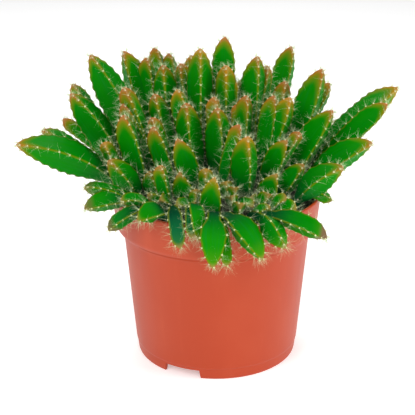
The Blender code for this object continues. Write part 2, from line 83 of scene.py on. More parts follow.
camera = bpy.data.objects.new("camera", bpy.data.cameras.new("camera"))
camera.location = Vector(CAMERA_PLACE) * MM
camera.rotation_euler = (math.radians(90.0 - CAMERA_PITCH), 0.0, 0.0)
camera.data.sensor_width = SENSOR
camera.data.lens = SENSOR * FOCAL_PIXELS / FRAME_PIXELS
camera.data.shift_x = -(AXIS_PIXEL - 0.5 * FRAME_PIXELS) / FRAME_PIXELS
bpy.context.scene.collection.objects.link(camera)
bpy.context.scene.camera = camera
print(f"lens {camera.data.lens:.1f} mm")

# %% [markdown]
# The studio is a wide white floor under a white world, with big soft lamps. A large lamp high on the
# left models the ribs, and a lower one on the right draws the pale band on the satin plastic. Two more
# fill in from the front and from behind. A sun would be simpler, but its hard shadows would break up
# such a crowd of stems.

# %% Floor, lamps and world
FLOOR_SIZE = 6000.0
FLOOR_COLOUR = (0.92, 0.92, 0.92)
WORLD_STRENGTH = 0.5
FLOOR_GLOW = 0.35
LAMPS = {
    # name: (place, size, power)
    "key": ((-520.0, -640.0, 820.0), 520.0, 4.2),
    "right": ((760.0, -260.0, 420.0), 420.0, 3.0),
    "front": ((120.0, -1200.0, 480.0), 600.0, 3.4),
    "back": ((-100.0, 760.0, 760.0), 600.0, 3.0),
}
AIM = Vector((0.0, 0.0, 95.0)) * MM


def paint(name, colour, roughness, shine=0.5):
    """A Principled material with one colour, to start from."""
    material = bpy.data.materials.new(name)
    material.use_nodes = True
    shader = material.node_tree.nodes["Principled BSDF"]
    shader.inputs["Base Color"].default_value = (*colour, 1.0)
    shader.inputs["Roughness"].default_value = roughness
    shader.inputs["Specular IOR Level"].default_value = shine
    material.diffuse_color = (*colour, 1.0)
    return material


def mesh_object(name, points, faces, edges=()):
    """An object whose points are given in millimetres."""
    mesh = bpy.data.meshes.new(name)
    mesh.from_pydata([tuple(c * MM for c in point) for point in points], edges, faces)
    mesh.update()
    item = bpy.data.objects.new(name, mesh)
    bpy.context.scene.collection.objects.link(item)
    return item


half = 0.5 * FLOOR_SIZE
floor = mesh_object(
    "floor",
    [(-half, -half, 0.0), (half, -half, 0.0), (half, half, 0.0), (-half, half, 0.0)],
    [(0, 1, 2, 3)],
)
floor_paint = paint("floor", FLOOR_COLOUR, 0.8)
floor_shader = floor_paint.node_tree.nodes["Principled BSDF"]
floor_shader.inputs["Emission Color"].default_value = (1.0, 1.0, 1.0, 1.0)
floor_shader.inputs["Emission Strength"].default_value = FLOOR_GLOW
floor.data.materials.append(floor_paint)

for name, (place, size, power) in LAMPS.items():
    lamp = bpy.data.objects.new(name, bpy.data.lights.new(name, "AREA"))
    lamp.data.shape = "DISK"
    lamp.data.size = size * MM
    lamp.data.energy = power
    lamp.location = Vector(place) * MM
    lamp.rotation_euler = (AIM - lamp.location).to_track_quat("-Z", "Y").to_euler()
    bpy.context.scene.collection.objects.link(lamp)

world = bpy.data.worlds.new("studio")
world.use_nodes = True
world.node_tree.nodes["Background"].inputs["Color"].default_value = (1.0, 1.0, 1.0, 1.0)
world.node_tree.nodes["Background"].inputs["Strength"].default_value = WORLD_STRENGTH
bpy.context.scene.world = world

# The picture's colours are as clear as a catalogue print, so nothing softens them on the way out.
bpy.context.scene.view_settings.view_transform = "Standard"
print("lamps:", ", ".join(LAMPS))

# %% [markdown]
# ## A small language for node trees
#
# Shader maths and Geometry Nodes maths use the same Math nodes. Wired by hand, a formula of ten terms
# takes ten calls and can't be read back. So one class wraps a socket and overloads the operators: a
# sum of two wrapped sockets adds a Math node and gives its result. Colours and vectors go through Mix
# and Vector Math, because a Math node would turn a colour grey.

# %% A wrapped socket
# a Mix node has sockets for numbers and vectors too; these are its factor, its colours and its result
MIX_SOCKETS = (0, 6, 7)
MIX_COLOUR = 2


class Flow:
    """A number, colour or vector that flows out of a socket; arithmetic on it adds Math nodes."""

    def __init__(self, tree, socket):
        self.tree = tree
        self.socket = socket

    def math(self, operation, *others):
        return self.tree.node("ShaderNodeMath", {"operation": operation}, (self, *others))

    def __add__(self, other):
        return self.math("ADD", other)

    __radd__ = __add__

    def __sub__(self, other):
        return self.math("SUBTRACT", other)

    def __rsub__(self, other):
        return self.tree.node("ShaderNodeMath", {"operation": "SUBTRACT"}, (other, self))

    def __mul__(self, other):
        return self.math("MULTIPLY", other)

    __rmul__ = __mul__

    def __truediv__(self, other):
        return self.math("DIVIDE", other)

    def __rtruediv__(self, other):
        return self.tree.node("ShaderNodeMath", {"operation": "DIVIDE"}, (other, self))

    def __pow__(self, other):
        return self.math("POWER", other)

    def __abs__(self):
        return self.math("ABSOLUTE")

    def __mod__(self, other):
        return self.math("MODULO", other)

    def clamp(self):
        return self.tree.node("ShaderNodeMath", {"operation": "ADD", "use_clamp": True}, (self, 0.0))

    def between(self, low, high):
        """0 below low, 1 above high and a soft step from one to the other; high may be the lower."""
        settings = {"interpolation_type": "SMOOTHSTEP"}
        return self.tree.node("ShaderNodeMapRange", settings, (self, low, high, 0.0, 1.0))

    def vector(self, operation, *others):
        return self.tree.node("ShaderNodeVectorMath", {"operation": operation}, (self, *others))

    def times(self, number):
        """A vector times a number."""
        settings = {"operation": "SCALE"}
        return self.tree.node("ShaderNodeVectorMath", settings, {"Vector": self, "Scale": number})


print("arithmetic on sockets ready")


# %% A tree that nodes are added to
class Tree:
    """A node tree that is filled through one method."""

    def __init__(self, tree):
        self.tree = tree

    def node(self, kind, settings=(), inputs=(), output=0):
        """Add a node: its settings first, then the values or links of its sockets."""
        made = self.tree.nodes.new(kind)
        for key, value in dict(settings).items():
            setattr(made, key, value)
        inputs = inputs if isinstance(inputs, dict) else dict(enumerate(inputs))
        for key, value in inputs.items():
            socket = made.inputs[key]
            if isinstance(value, Flow):
                self.tree.links.new(value.socket, socket)
            else:
                socket.default_value = value
        return Flow(self, made.outputs[output])

    def blend(self, factor, first, second):
        """Mix two colours, given as wrapped sockets or as red, green and blue."""
        pair = [c if isinstance(c, Flow) else (*c, 1.0) for c in (first, second)]
        inputs = dict(zip(MIX_SOCKETS, (factor, *pair)))
        return self.node("ShaderNodeMix", {"data_type": "RGBA"}, inputs, MIX_COLOUR)

    def attribute(self, name):
        return self.node("ShaderNodeAttribute", {"attribute_name": name}, (), "Fac")

    def object_place(self):
        return self.node("ShaderNodeTexCoord", {}, (), "Object")

    def noise(self, place, scale, detail=2.0, roughness=0.5):
        inputs = {"Vector": place, "Scale": scale, "Detail": detail, "Roughness": roughness}
        return self.node("ShaderNodeTexNoise", {}, inputs, "Fac")

    def bump(self, height, strength, distance):
        """A bumpy normal; the distance is how high a full height stands, in millimetres."""
        inputs = {"Height": height, "Strength": strength, "Distance": distance * MM}
        return self.node("ShaderNodeBump", {}, inputs)


def finish(material, **links):
    """Link results to the sockets of a material's shader; an underscore stands for a space."""
    shader = material.node_tree.nodes["Principled BSDF"]
    for key, flow in links.items():
        material.node_tree.links.new(flow.socket, shader.inputs[key.replace("_", " ")])


print("trees ready")

# %% [markdown]
# ## What the skin looks like
#
# A young stem is deep bluish green at its root and a fresh, slightly yellow green above; painted shade
# makes the root green darker still, deep among the crowded stems. Strong light turns its tip orange
# brown, and the colour runs down the ribs and leaves a green tongue on each face. One colour with noise
# would look like plastic, so the skin reads values that each stem carries along: its share of the
# length, its girth, how close a point is to a rib crest, how far the tip is, a tone of its own and how
# much sun it gets. The distance to the tip counts almost three times in the middle of a face, which
# draws the tongue. Crest and girth together give the distance to the rib, where a thin brown line
# follows every edge. Soft bluish streaks on the faces are a painted sheen. Stems that hang over the rim
# are in shade, which is painted: their dark root green goes further up, and three of them turn teal
# towards the tip. Four tips there have dried to brown.

# %% The skin's colours
# the root's own deep green, darkened further as painted shade among the crowded stems
ROOT_GREEN_AND_SHADE = (0.0005, 0.038, 0.013)
LEAF_GREEN = (0.0005, 0.195, 0.0006)
LIME = (0.010, 0.25, 0.001)
PALE_GREEN = (0.08, 0.27, 0.003)
# a painted bluish sheen, laid on in soft streaks along the faces
BLUISH_SHEEN = (0.004, 0.20, 0.035)
OLIVE = (0.17, 0.21, 0.006)
ORANGE = (0.40, 0.13, 0.018)
GOLD = (0.50, 0.23, 0.012)
ROSE = (0.50, 0.24, 0.13)
DRY_BROWN = (0.19, 0.115, 0.055)
# painted shade on stems that hang in the shadow of others
TEAL_SHADE = (0.004, 0.105, 0.045)
print("skin colours ready")

# %% Where each colour lies
# shares of a stem's length between which something comes in
GREEN_END = 0.55
# on stems in shade, painted shade pushes the dark root green further up by these shares
SHADE_START = 0.65
SHADE_DELAY = 0.55
LIME_ZONE = (0.4, 0.95)
PALE_ZONE = (0.82, 1.0)
TEAL_SHADE_ZONE = (0.5, 0.9)
RIB_ZONE = (0.1, 0.5)
RIPE_ZONE = (0.35, 0.8)
ROSE_ZONE = (0.7, 0.95)
# how strong a colour is where it lies
LIME_LEAST = 0.1
LIME_BY_TONE = 0.6
LIME_MOTTLE = 0.5
BLUISH_SHEEN_AMOUNT = 0.25
PALE_AMOUNT = 0.6
TEAL_SHADE_AMOUNT = 0.7
RIB_AMOUNT = 0.7
ROSE_AMOUNT = 0.3
OLIVE_LEAST = 0.55
OLIVE_BY_SUN = 1.5
GOLDEN_LEAST = 0.25
GOLDEN_BY_SUN = 1.1
# distances from the rib line and from the tip, in millimetres
RIB_LINE = (1.5, 0.2)
ROSE_REACH = (3.5, 0.5)
DRY_REACH = (8.0, 4.0)
SHADE_CAP = 6.5
SUN_CAP = 19.0
CAP_MOTTLE = 4.0
CAP_FADE = 1.5
TONGUE = 1.8
# a face is this long from its middle to a crest, with the girth as one
HALF_FACE = 0.87
ripe_reach = CAP_FADE * (SHADE_CAP + SUN_CAP)
print("the ripe colour reaches about", round(ripe_reach), "mm down the sunniest tips")

# %% Mix the skin
MOTTLE_SCALE = 150.0
GRAIN_SCALE = 1400.0
STREAK_SCALE = 2.0
STREAKS_AROUND = 2.5
STREAK_SHIFT = 30.0
STREAK_STEP = (0.4, 0.8)
TEAL_SHADE_STEP = (0.6, 1.0)
TONE_PART = 0.65
OLIVE_STEP = (0.0, 0.75)
RIPEST_STEP = (0.5, 1.0)
GOLD_DRAW = 7.0
GOLD_STEP = (0.6, 0.9)
SKIN_SHEEN = 0.36
SKIN_DULLING = 0.22


def green_skin(tree, share, tone, sun, mottle):
    """The green of a stem, from its root to its tip, with its painted shade and sheen."""
    shade = tree.attribute("shade")
    around = tree.attribute("turn") * STREAKS_AROUND
    streak_place = tree.node("ShaderNodeCombineXYZ", {}, (around, share, tone * STREAK_SHIFT))
    streak = tree.noise(streak_place, STREAK_SCALE)
    # painted shade: the dark root green runs further up the stems that hang in shade
    grown_and_lit = share.between(SHADE_START * shade, GREEN_END + SHADE_DELAY * shade)
    colour = tree.blend(grown_and_lit, ROOT_GREEN_AND_SHADE, LEAF_GREEN)
    light = share.between(*LIME_ZONE) * (LIME_LEAST + LIME_BY_TONE * tone)
    light = light + (mottle - 0.5) * LIME_MOTTLE
    colour = tree.blend(light.clamp(), colour, LIME)
    # painted sheen in bluish streaks
    colour = tree.blend(streak.between(*STREAK_STEP) * BLUISH_SHEEN_AMOUNT, colour, BLUISH_SHEEN)
    colour = tree.blend(share.between(*PALE_ZONE) * (1.0 - sun) * PALE_AMOUNT, colour, PALE_GREEN)
    # painted teal shade towards the tip of the stems that hang deepest in shade
    teal = shade.between(*TEAL_SHADE_STEP) * share.between(*TEAL_SHADE_ZONE) * TEAL_SHADE_AMOUNT
    return tree.blend(teal, colour, TEAL_SHADE)


def make_skin():
    material = paint("cactus_skin", LEAF_GREEN, 0.45, 0.015)
    tree = Tree(material.node_tree)
    place = tree.object_place()
    share = tree.attribute("share")
    reach = tree.attribute("reach")
    tone = tree.attribute("tone")
    sun = tree.attribute("sun")
    mottle = tree.noise(place, MOTTLE_SCALE, 3.0)
    grain = tree.noise(place, GRAIN_SCALE, 3.0, 0.6)
    colour = green_skin(tree, share, tone, sun, mottle)
    inward = 1.0 - tree.attribute("crest")
    rib = (inward * tree.attribute("girth") * (HALF_FACE / MM)).between(*RIB_LINE)
    colour = tree.blend(rib * share.between(*RIB_ZONE) * RIB_AMOUNT, colour, OLIVE)
    cap = SHADE_CAP + SUN_CAP * sun * (1.0 - TONE_PART + TONE_PART * tone) + CAP_MOTTLE * (mottle - 0.5)
    ripe = 1.0 - (reach * (1.0 + TONGUE * inward) / (CAP_FADE * cap)).clamp()
    ripe = ripe * share.between(*RIPE_ZONE)
    olive = ripe.between(*OLIVE_STEP) * (OLIVE_LEAST + OLIVE_BY_SUN * sun).clamp()
    colour = tree.blend(olive, colour, OLIVE)
    golden = tree.blend((tone * GOLD_DRAW % 1.0).between(*GOLD_STEP), ORANGE, GOLD)
    ripest = ripe.between(*RIPEST_STEP) * (GOLDEN_LEAST + GOLDEN_BY_SUN * sun).clamp()
    colour = tree.blend(ripest, colour, golden)
    rose = reach.between(*ROSE_REACH) * share.between(*ROSE_ZONE) * ROSE_AMOUNT
    colour = tree.blend(rose, colour, ROSE)
    colour = tree.blend(tree.attribute("dry") * reach.between(*DRY_REACH), colour, DRY_BROWN)
    dull = SKIN_SHEEN + SKIN_DULLING * mottle
    finish(material, Base_Color=colour, Roughness=dull, Normal=tree.bump(grain, 0.2, 0.3))
    return material


skin = make_skin()
print("skin nodes:", len(skin.node_tree.nodes))

# %% [markdown]
# ## Wool and bristles
#
# Along each rib sit small cushions, the areoles. Each is a dot of cream wool with a spray of white
# bristles. At a growing tip they crowd together and the young wool is pinkish. Near the peat both are
# painted a dull, dark green grey, which is painted shade deep among the crowded stems. Both could be
# painted on the skin, but real ones stand out from it and catch the light, so they become small meshes
# later. Here they get their colours, which read how young each tuft is and how much painted shade
# falls on it.

# %% Paint the wool and the bristles
WOOL = (0.76, 0.80, 0.36)
YOUNG_WOOL = (0.86, 0.64, 0.47)
# dark green grey: painted shade on wool near the peat
SHADED_WOOL = (0.26, 0.31, 0.17)
FLUFF = (0.88, 0.86, 0.62)
BRISTLE = (0.68, 0.80, 0.46)
DULL_BRISTLE = (0.42, 0.53, 0.26)
# near black green: painted shade on bristles near the peat
SHADED_BRISTLE = (0.03, 0.09, 0.04)
FLUFF_SCALE = 2600.0
FLUFF_AMOUNT = 0.35
FLECK_SCALE = 300.0


def make_wool():
    material = paint("areole_wool", WOOL, 0.9)
    tree = Tree(material.node_tree)
    fluff = tree.noise(tree.object_place(), FLUFF_SCALE, 3.0, 0.7)
    colour = tree.blend(tree.attribute("young"), WOOL, YOUNG_WOOL)
    # old is painted shade, strongest on tufts near the peat
    colour = tree.blend(tree.attribute("old"), colour, SHADED_WOOL)
    colour = tree.blend(FLUFF_AMOUNT * fluff, colour, FLUFF)
    finish(material, Base_Color=colour, Normal=tree.bump(fluff, 0.7, 0.4))
    return material


def make_bristle():
    material = paint("bristle", BRISTLE, 0.5)
    tree = Tree(material.node_tree)
    fleck = tree.noise(tree.object_place(), FLECK_SCALE)
    colour = tree.blend(fleck, DULL_BRISTLE, BRISTLE)
    # old is painted shade, strongest on tufts near the peat
    colour = tree.blend(tree.attribute("old"), colour, SHADED_BRISTLE)
    finish(material, Base_Color=colour)
    return material


wool_material = make_wool()
bristle_material = make_bristle()
print("wool and bristles painted")

# %% [markdown]
# ## Where the stems stand
#
# Each plant is one seedling with up to three stems from one root. Its place and each tip are the
# object's real design, so they are listed, in millimetres, as a gardener would sketch a planting
# plan. Everything else about a stem follows from a few rules.

# %% The planting plan
# each row has the place of a root and then its stems, with the values of a Stem: the tip is x, y and z;
# width is across the ribs; turn moves the rib that faces the front to the right, in degrees; arch lifts
# the middle of a stem and sway brings it forward; neck is the share of its length that stays narrow,
# long on the stems that hang over the rim
Stem = namedtuple("Stem", "tip width turn arch neck sway", defaults=(0.0, None, 0.0, 0.0))
Plant = namedtuple("Plant", "root stems")

PLANTING = [
    # back row, seen above the others
    ((-35, 35), (-56, 47, 169, 17, -15), (-42, 44, 166, 11, 20)),
    ((-20, 38), (-38, 62, 168, 9.5, 20), (-29, 60, 165, 10.5, 20)),
    ((-11, 36), (-15, 50, 166, 10.5, 10), (-21, 33, 165, 11, -10)),
    ((4, 37), (5, 42, 179, 14, 50)),
    ((30, 36), (46, 65, 168, 14, 20)),
    ((-47, 15), (-85, 38, 152, 11, 10), (-89, 14, 137, 8, 40)),
    # second row
    ((-40, 20), (-73, 18, 173, 19.5, 13)),
    ((-26, 26), (-31, 25, 166, 15, 0)),
    ((-9, 23), (-8, 24, 176, 15.5, 3)),
    ((6, 22), (4, 20, 167, 13, 0), (11, 27, 157, 8, 40)),
    ((20, 27), (24, 26, 171, 16, 12), (30, 36, 163, 10, 10)),
    ((30, 17), (41, 30, 155, 11, 5)),
    ((39, 20), (60, 20, 165, 16.5, 18), (67, 34, 153, 11.5, 20)),
    ((48, 13), (109, 42, 148, 15, 10, 11)),
    # middle row
    ((-50, 5), (-84, 6, 153, 17, 15)),
    ((-32, 9), (-53, 8, 157, 11, 10), (-54, 5, 148, 10, 20)),
    ((-21, 12), (-34, 14, 152, 12.5, 0)),
    ((-11, 9), (-24, 14, 154, 12, 20), (-16, 4, 149, 15.5, 0)),
    ((1, 9), (-1, 14, 150, 9.5, 20), (-1, 0, 147, 16, 10)),
    ((13, 11), (17, 13, 151, 11.5, 15), (11, 19, 145, 8, 40)),
    ((26, 7), (33, 13, 151, 12, 20), (42, 5, 152, 14, 15)),
    ((40, 5), (66, 3, 145, 16.5, 20)),
    ((51, 4), (98, 16, 145, 13.5, 30)),
    # rows in front of the middle
    ((-50, -7), (-100, 4, 133, 11, 5, 8), (-110, -24, 133, 19.5, 4, 16, 0.23), (-63, -14, 131, 8)),
    ((-41, 0), (-52, -6, 145, 13.5, 25)),
    ((-24, -2), (-36, -6, 138, 12, 25), (-37, 2, 141, 9, 0)),
    ((-12, -7), (-22, -12, 133, 13, 60)),
    ((2, -8), (12, -1, 138, 8.5, 30)),
    ((17, -17), (17, -26, 138, 16, 14)),
    ((28, -4), (40, -10, 131, 12.5, 30), (47, -7, 135, 7.5, 10)),
    ((50, -5), (88, -8, 129, 16.5, 15, 11, 0.1)),
    ((-44, -18), (-61, -24, 123, 15.5, 5)),
    ((-36, -10), (-39, -14, 114, 11, 20)),
    ((-17, -24), (-22, -31, 119, 12.5, 45)),
    ((-6, -21), (-6, -26, 120, 8.5, 0)),
    ((26, -18), (32, -25, 117, 13, 40)),
    ((7, -19), (5, -25, 112, 8, 0), (12, -27, 110, 7.5, 30)),
    ((23, -29), (29, -37, 109, 8, 20), (17, -37, 106, 7, 0)),
    ((35, -14), (50, -18, 119, 12.5, 15)),
    ((43, -23), (70, -27, 121, 16.5, 0, 8, 0.1), (65, -19, 98, 7, 0, 14.5)),
    # front row, over the rim
    ((-41, -31), (-74, -24, 108, 8, 0, 9), (-73, -34, 99, 12, -18, 11.5, 0.34)),
    ((-34, -38), (-52, -42, 106, 8, 0, 10), (-59, -46, 91, 9, -10, 14.5, 0.35, 10)),
    ((-25, -29), (-31, -38, 106, 7.5, 0, 4), (-38, -34, 107, 7, 30, 4), (-30, -32, 124, 8.5, 20)),
    ((-12, -36), (-22, -42, 104, 7.5, 0, 6), (-12, -44, 105, 7, 40, 6), (-11, -37, 112, 8.5, 0)),
    ((-25, -44), (-42, -57, 101, 12.5, -13, 12, 0.35, 9), (-19, -69, 90, 8, 60, 23, 0.45)),
    ((-14, -47), (-13.5, -66, 95, 7.5, 40, 20, 0.4), (-9, -67, 94, 9, 20, 24, 0.4)),
    ((-3, -42), (-1, -46, 122, 13, 40, 0)),
    ((-1, -51), (-2, -76, 82, 14.5, 60, 25, 0.53, 6), (5, -72, 81, 7, 30, 23.5, 0.45, 3),
     (24, -75, 86, 14.5, 15, 20.5, 0.44, 6)),
    ((9, -31), (8, -38, 108, 7.5, 0, 2), (20, -42, 103, 7, 0, 6)),
    ((11, -42), (13, -53, 109, 7.5, 10, 3)),
    ((18, -48), (36, -71, 91, 12.5, -18, 17, 0.48, 3), (29, -49, 106, 8, 0, 3),
     (59, -57, 91, 11.5, 18, 16.5, 0.44, 11)),
    ((29, -41), (38, -44, 108, 7.5, 0, 8), (43, -48, 104, 8.5, 20, 8, 0.2)),
    # behind, hidden in a front view
    ((-44, 27), (-70, 58, 128, 13, 30, 12)),
    ((-8, 48), (-14, 75, 120, 14, 20), (-2, 74, 140, 10, 50)),
    ((12, 46), (18, 75, 112, 13, 0, 20), (17, 58, 150, 10, 30)),
    ((-29, 41), (-46, 74, 108, 12, 10, 15)),
    ((42, 29), (72, 60, 122, 14, 30, 17), (86, 40, 112, 11, 20, 18)),
    ((23, 45), (42, 74, 102, 11, 0, 15, 0.2)),
]
PLANTS = [Plant(root, [Stem(stem[:3], *stem[3:]) for stem in stems]) for root, *stems in PLANTING]
print(len(PLANTS), "plants,", sum(len(plant.stems) for plant in PLANTS), "stems")

# %% [markdown]
# ## The centre line and girth of a stem
#
# A stem leaves its root, bends once and runs to its tip, which a quadratic curve draws with three
# points. The section must not spin along the way, so each direction across it is turned from the
# middle of the stem by the smallest rotation. The girth swells to its widest near the middle and
# closes to a blunt point.

# %% The peat's height and the girth of a stem
SOIL_EDGE = 94.0
SOIL_DOME = 3.0
SOIL_BUMP = 0.4
SOIL_WAVES = (3.2, 3.7)
RIM_RADIUS = 60.0
NECK = 0.38
LONG_NECK = 0.5
LONG_NECK_FROM = 0.3
WIDEST = 0.48
TIP_SHARPNESS = 2.2
TIP_ROUNDNESS = 0.75


def soil_height(x, y):
    """The peat's surface: a low dome with shallow bumps."""
    share = min(1.0, math.hypot(x, y) / RIM_RADIUS)
    bump = SOIL_BUMP * math.sin(x / SOIL_WAVES[0]) * math.cos(y / SOIL_WAVES[1])
    return SOIL_EDGE + SOIL_DOME * (1.0 - share * share) + bump * (1.0 - share)


def girth(share, neck, taper):
    """Half width of a stem along its length, as a share of its widest: a blunt lance shape."""
    rise = min(1.0, max(0.0, share - neck) / ((1.0 - neck) * WIDEST))
    narrow = LONG_NECK if neck > LONG_NECK_FROM else NECK
    swell = narrow + (1.0 - narrow) * math.sin(0.5 * math.pi * rise)
    left = min(1.0, (1.0 - share) / taper)
    return swell * (1.0 - (1.0 - left) ** TIP_SHARPNESS) ** TIP_ROUNDNESS


print("the peat is", soil_height(0.0, 0.0), "mm high in the middle")

# %% Centre lines
STEM_START = 2.2
STEM_SPREAD = 0.6
BEND_SHARE = 0.38
LOW_BEND_SHARE = 0.22
SIDE_CURVE = 0.10
TIP_TAPER = 0.085
LOW_TAPER = 0.062
LOW_TIP = 104.0
WIDTH_TO_CREST = 1.73
LENGTH_PARTS = 8
TOWARDS_VIEWER = Vector((0.0, -1.0, 0.4))


class Axis:
    """The centre line of one stem: a quadratic curve that carries its section without twist."""

    def __init__(self, stem, root, bend, tip):
        self.stem = stem
        self.root = Vector(root)
        self.bend = Vector(bend)
        self.tip = Vector(tip)
        self.turn = math.radians(stem.turn)
        taper = LOW_TAPER if stem.tip[2] <= LOW_TIP else TIP_TAPER
        self.taper = taper * stem.width**2 / self.length()
        self.middle = self.direction(0.5)
        facing = TOWARDS_VIEWER - self.middle * TOWARDS_VIEWER.dot(self.middle)
        self.facing = facing.normalized()

    def point(self, share):
        rest = 1.0 - share
        return self.root * rest * rest + self.bend * 2.0 * share * rest + self.tip * share * share

    def direction(self, share):
        slope = (self.bend - self.root) * (1.0 - share) + (self.tip - self.bend) * share
        return slope.normalized()

    def across(self, share, angle):
        along = self.direction(share)
        out = self.middle.rotation_difference(along) @ self.facing
        side = along.cross(out)
        return out * math.cos(angle + self.turn) + side * math.sin(angle + self.turn)

    def crest_radius(self, share):
        return self.stem.width / WIDTH_TO_CREST * girth(share, self.stem.neck, self.taper)

    def length(self):
        marks = [self.point(k / LENGTH_PARTS) for k in range(LENGTH_PARTS + 1)]
        return sum((b - a).length for a, b in zip(marks, marks[1:]))


def stem_axes(plant):
    """Each stem's centre line, which rises from the root crown and bends to the tip."""
    centre = Vector((*plant.root, soil_height(*plant.root) + STEM_START))
    axes = []
    for stem in plant.stems:
        tip = Vector(stem.tip)
        lean = Vector((tip.x - centre.x, tip.y - centre.y, 0.0))
        root = centre + lean.normalized() * STEM_SPREAD
        arch = stem.arch if stem.arch is not None else SIDE_CURVE * (tip - root).length
        along = LOW_BEND_SHARE if tip.z <= LOW_TIP else BEND_SHARE
        bend = root.lerp(tip, along) + Vector((0.0, -stem.sway, arch))
        axes.append(Axis(stem, root, bend, tip))
    return axes


print("a stem 16 mm wide tapers over", round(TIP_TAPER * 16**2), "mm")

# %% [markdown]
# ## Leaning apart
#
# Seedlings that grow close together lean away from each other. Placing ninety stems by hand so that
# none of them crosses another would take days, so a small relaxation does it: stems that come too close
# push each other away, a little at each pass. They move mostly along the line of sight, so the
# picture's arrangement stays. Stems that hang over the rim keep their place.

# %% Lean the stems apart
LINE_OF_SIGHT = np.array((0.0, 0.94, -0.34))
SIDEWAYS = 0.3
CLOSEST = 0.92
LEAN_PASSES = 60
LEAN_RATE = 0.35
LEAN_SHARES = np.linspace(0.1, 0.98, 10)
NO_DISTANCE = 1e-6


def lean_apart(grown):
    """Lean the stems of different plants apart where they crowd each other.

    A stem whose arch is given hangs over the rim and keeps its place.
    """
    axes = [axis for plant in grown for axis in plant]
    owner = np.repeat(np.arange(len(grown)), [len(plant) for plant in grown])
    count = len(LEAN_SHARES)
    near = (owner[:, None] != owner[None, :]).repeat(count, 0).repeat(count, 1)
    radius = np.array([[axis.crest_radius(share) for share in LEAN_SHARES] for axis in axes]).ravel()
    least = CLOSEST * (radius[:, None] + radius[None, :])
    free = np.array([[axis.stem.arch is None] for axis in axes], dtype=float)
    parts = [(1.0 - LEAN_SHARES) ** 2, 2.0 * LEAN_SHARES * (1.0 - LEAN_SHARES), LEAN_SHARES**2]
    ends = [np.array([getattr(axis, name) for axis in axes]) for name in ("root", "bend", "tip")]
    for _ in range(LEAN_PASSES):
        marks = sum(end[:, None] * part[None, :, None] for end, part in zip(ends, parts))
        marks = marks.reshape(-1, 3)
        apart = marks[:, None] - marks[None]
        distance = np.linalg.norm(apart, axis=2) + NO_DISTANCE
        overlap = np.where(near, np.clip(least - distance, 0.0, None), 0.0)
        push = (apart * (overlap / distance)[:, :, None]).sum(axis=1)
        sight = (push @ LINE_OF_SIGHT)[:, None] * LINE_OF_SIGHT
        push = (SIDEWAYS * push + (1.0 - SIDEWAYS) * sight).reshape(-1, count, 3) * LEAN_RATE
        for end, part in zip(ends[1:], parts[1:]):
            end += (push * part[None, :, None]).sum(axis=1) * free
    moved = iter(zip(*ends))
    return [[Axis(axis.stem, *next(moved)) for axis in plant] for plant in grown]


axes = lean_apart([stem_axes(plant) for plant in PLANTS])
moves = [(axis.tip - Vector(axis.stem.tip)).length for plant in axes for axis in plant]
print(f"tips moved by {sum(moves) / len(moves):.1f} mm on average, {max(moves):.1f} mm at most")

# %% [markdown]
# ## Stations along a stem
#
# Every stem is drawn on a chain of points, closer together towards the tip, where the girth changes
# fast. Each point keeps what the later steps need: the girth, two directions across, and a phase that
# counts areoles. They lie four to six millimetres apart on old growth and crowd together near the tip,
# so the phase is the length divided by a pitch that shrinks upwards.

# %% Stations
STATION_PITCH = 1.15
CURVE_ALLOWANCE = 1.05
STATION_CROWDING = 1.35
FEWEST_STATIONS = 22
BELOW_GROUND = (9.0, 5.0, 2.0)
SMALL_PITCH = 3.1
PITCH_PER_WIDTH = 0.14
TIP_PITCH = 0.9
TIP_ZONE = 4.5
SMALLEST_GIRTH = 0.04

Station = namedtuple("Station", "place facing side girth share phase reach")


def stations(axis):
    """The points along one stem, from below the ground to its tip."""
    count = max(FEWEST_STATIONS, round((axis.tip - axis.root).length * CURVE_ALLOWANCE / STATION_PITCH))
    shares = [1.0 - (1.0 - k / (count - 1)) ** STATION_CROWDING for k in range(count)]
    places = [axis.point(share) for share in shares]
    steps = [(b - a).length for a, b in zip(places, places[1:])]
    to_tip = [sum(steps[k:]) for k in range(count)]
    phases = [0.0] * count
    wide_pitch = SMALL_PITCH + PITCH_PER_WIDTH * axis.stem.width
    for k in range(count - 2, -1, -1):
        pitch = wide_pitch - (wide_pitch - TIP_PITCH) * math.exp(-to_tip[k] / TIP_ZONE)
        phases[k] = phases[k + 1] + steps[k] / pitch
    sunk = [places[0] - Vector((0.0, 0.0, drop)) for drop in BELOW_GROUND]
    marks = [(0.0, place, phases[0], to_tip[0]) for place in sunk]
    found = []
    for share, place, phase, reach in marks + list(zip(shares, places, phases, to_tip)):
        facing, side = axis.across(share, 0.0), axis.across(share, math.pi / 2)
        wide = max(SMALLEST_GIRTH, axis.crest_radius(share))
        found.append(Station(place, facing, side, wide, share, phase, reach))
    return found


print("areoles lie", round(SMALL_PITCH + PITCH_PER_WIDTH * 16, 1), "mm apart on a stem 16 mm wide")

# %% Dryness, shade and sun
DRAW_SEED = 7
SHADE_TIP = 105.0
SUNNY_TIP = 150.0
LOW_SHADE = 0.5
# how dry the tip is, and how much painted teal shade the skin gets, for the stems with these tips
DRY_STEMS = {(59, -57, 91): 1.0, (-73, -34, 99): 0.5, (-59, -46, 91): 0.7, (-74, -24, 108): 0.4}
TEAL_SHADE_STEMS = {(-19, -69, 90): 1.0, (-13.5, -66, 95): 1.0, (-59, -46, 91): 0.75}
Row = namedtuple("Row", "plant stem line tone dry shade sun")

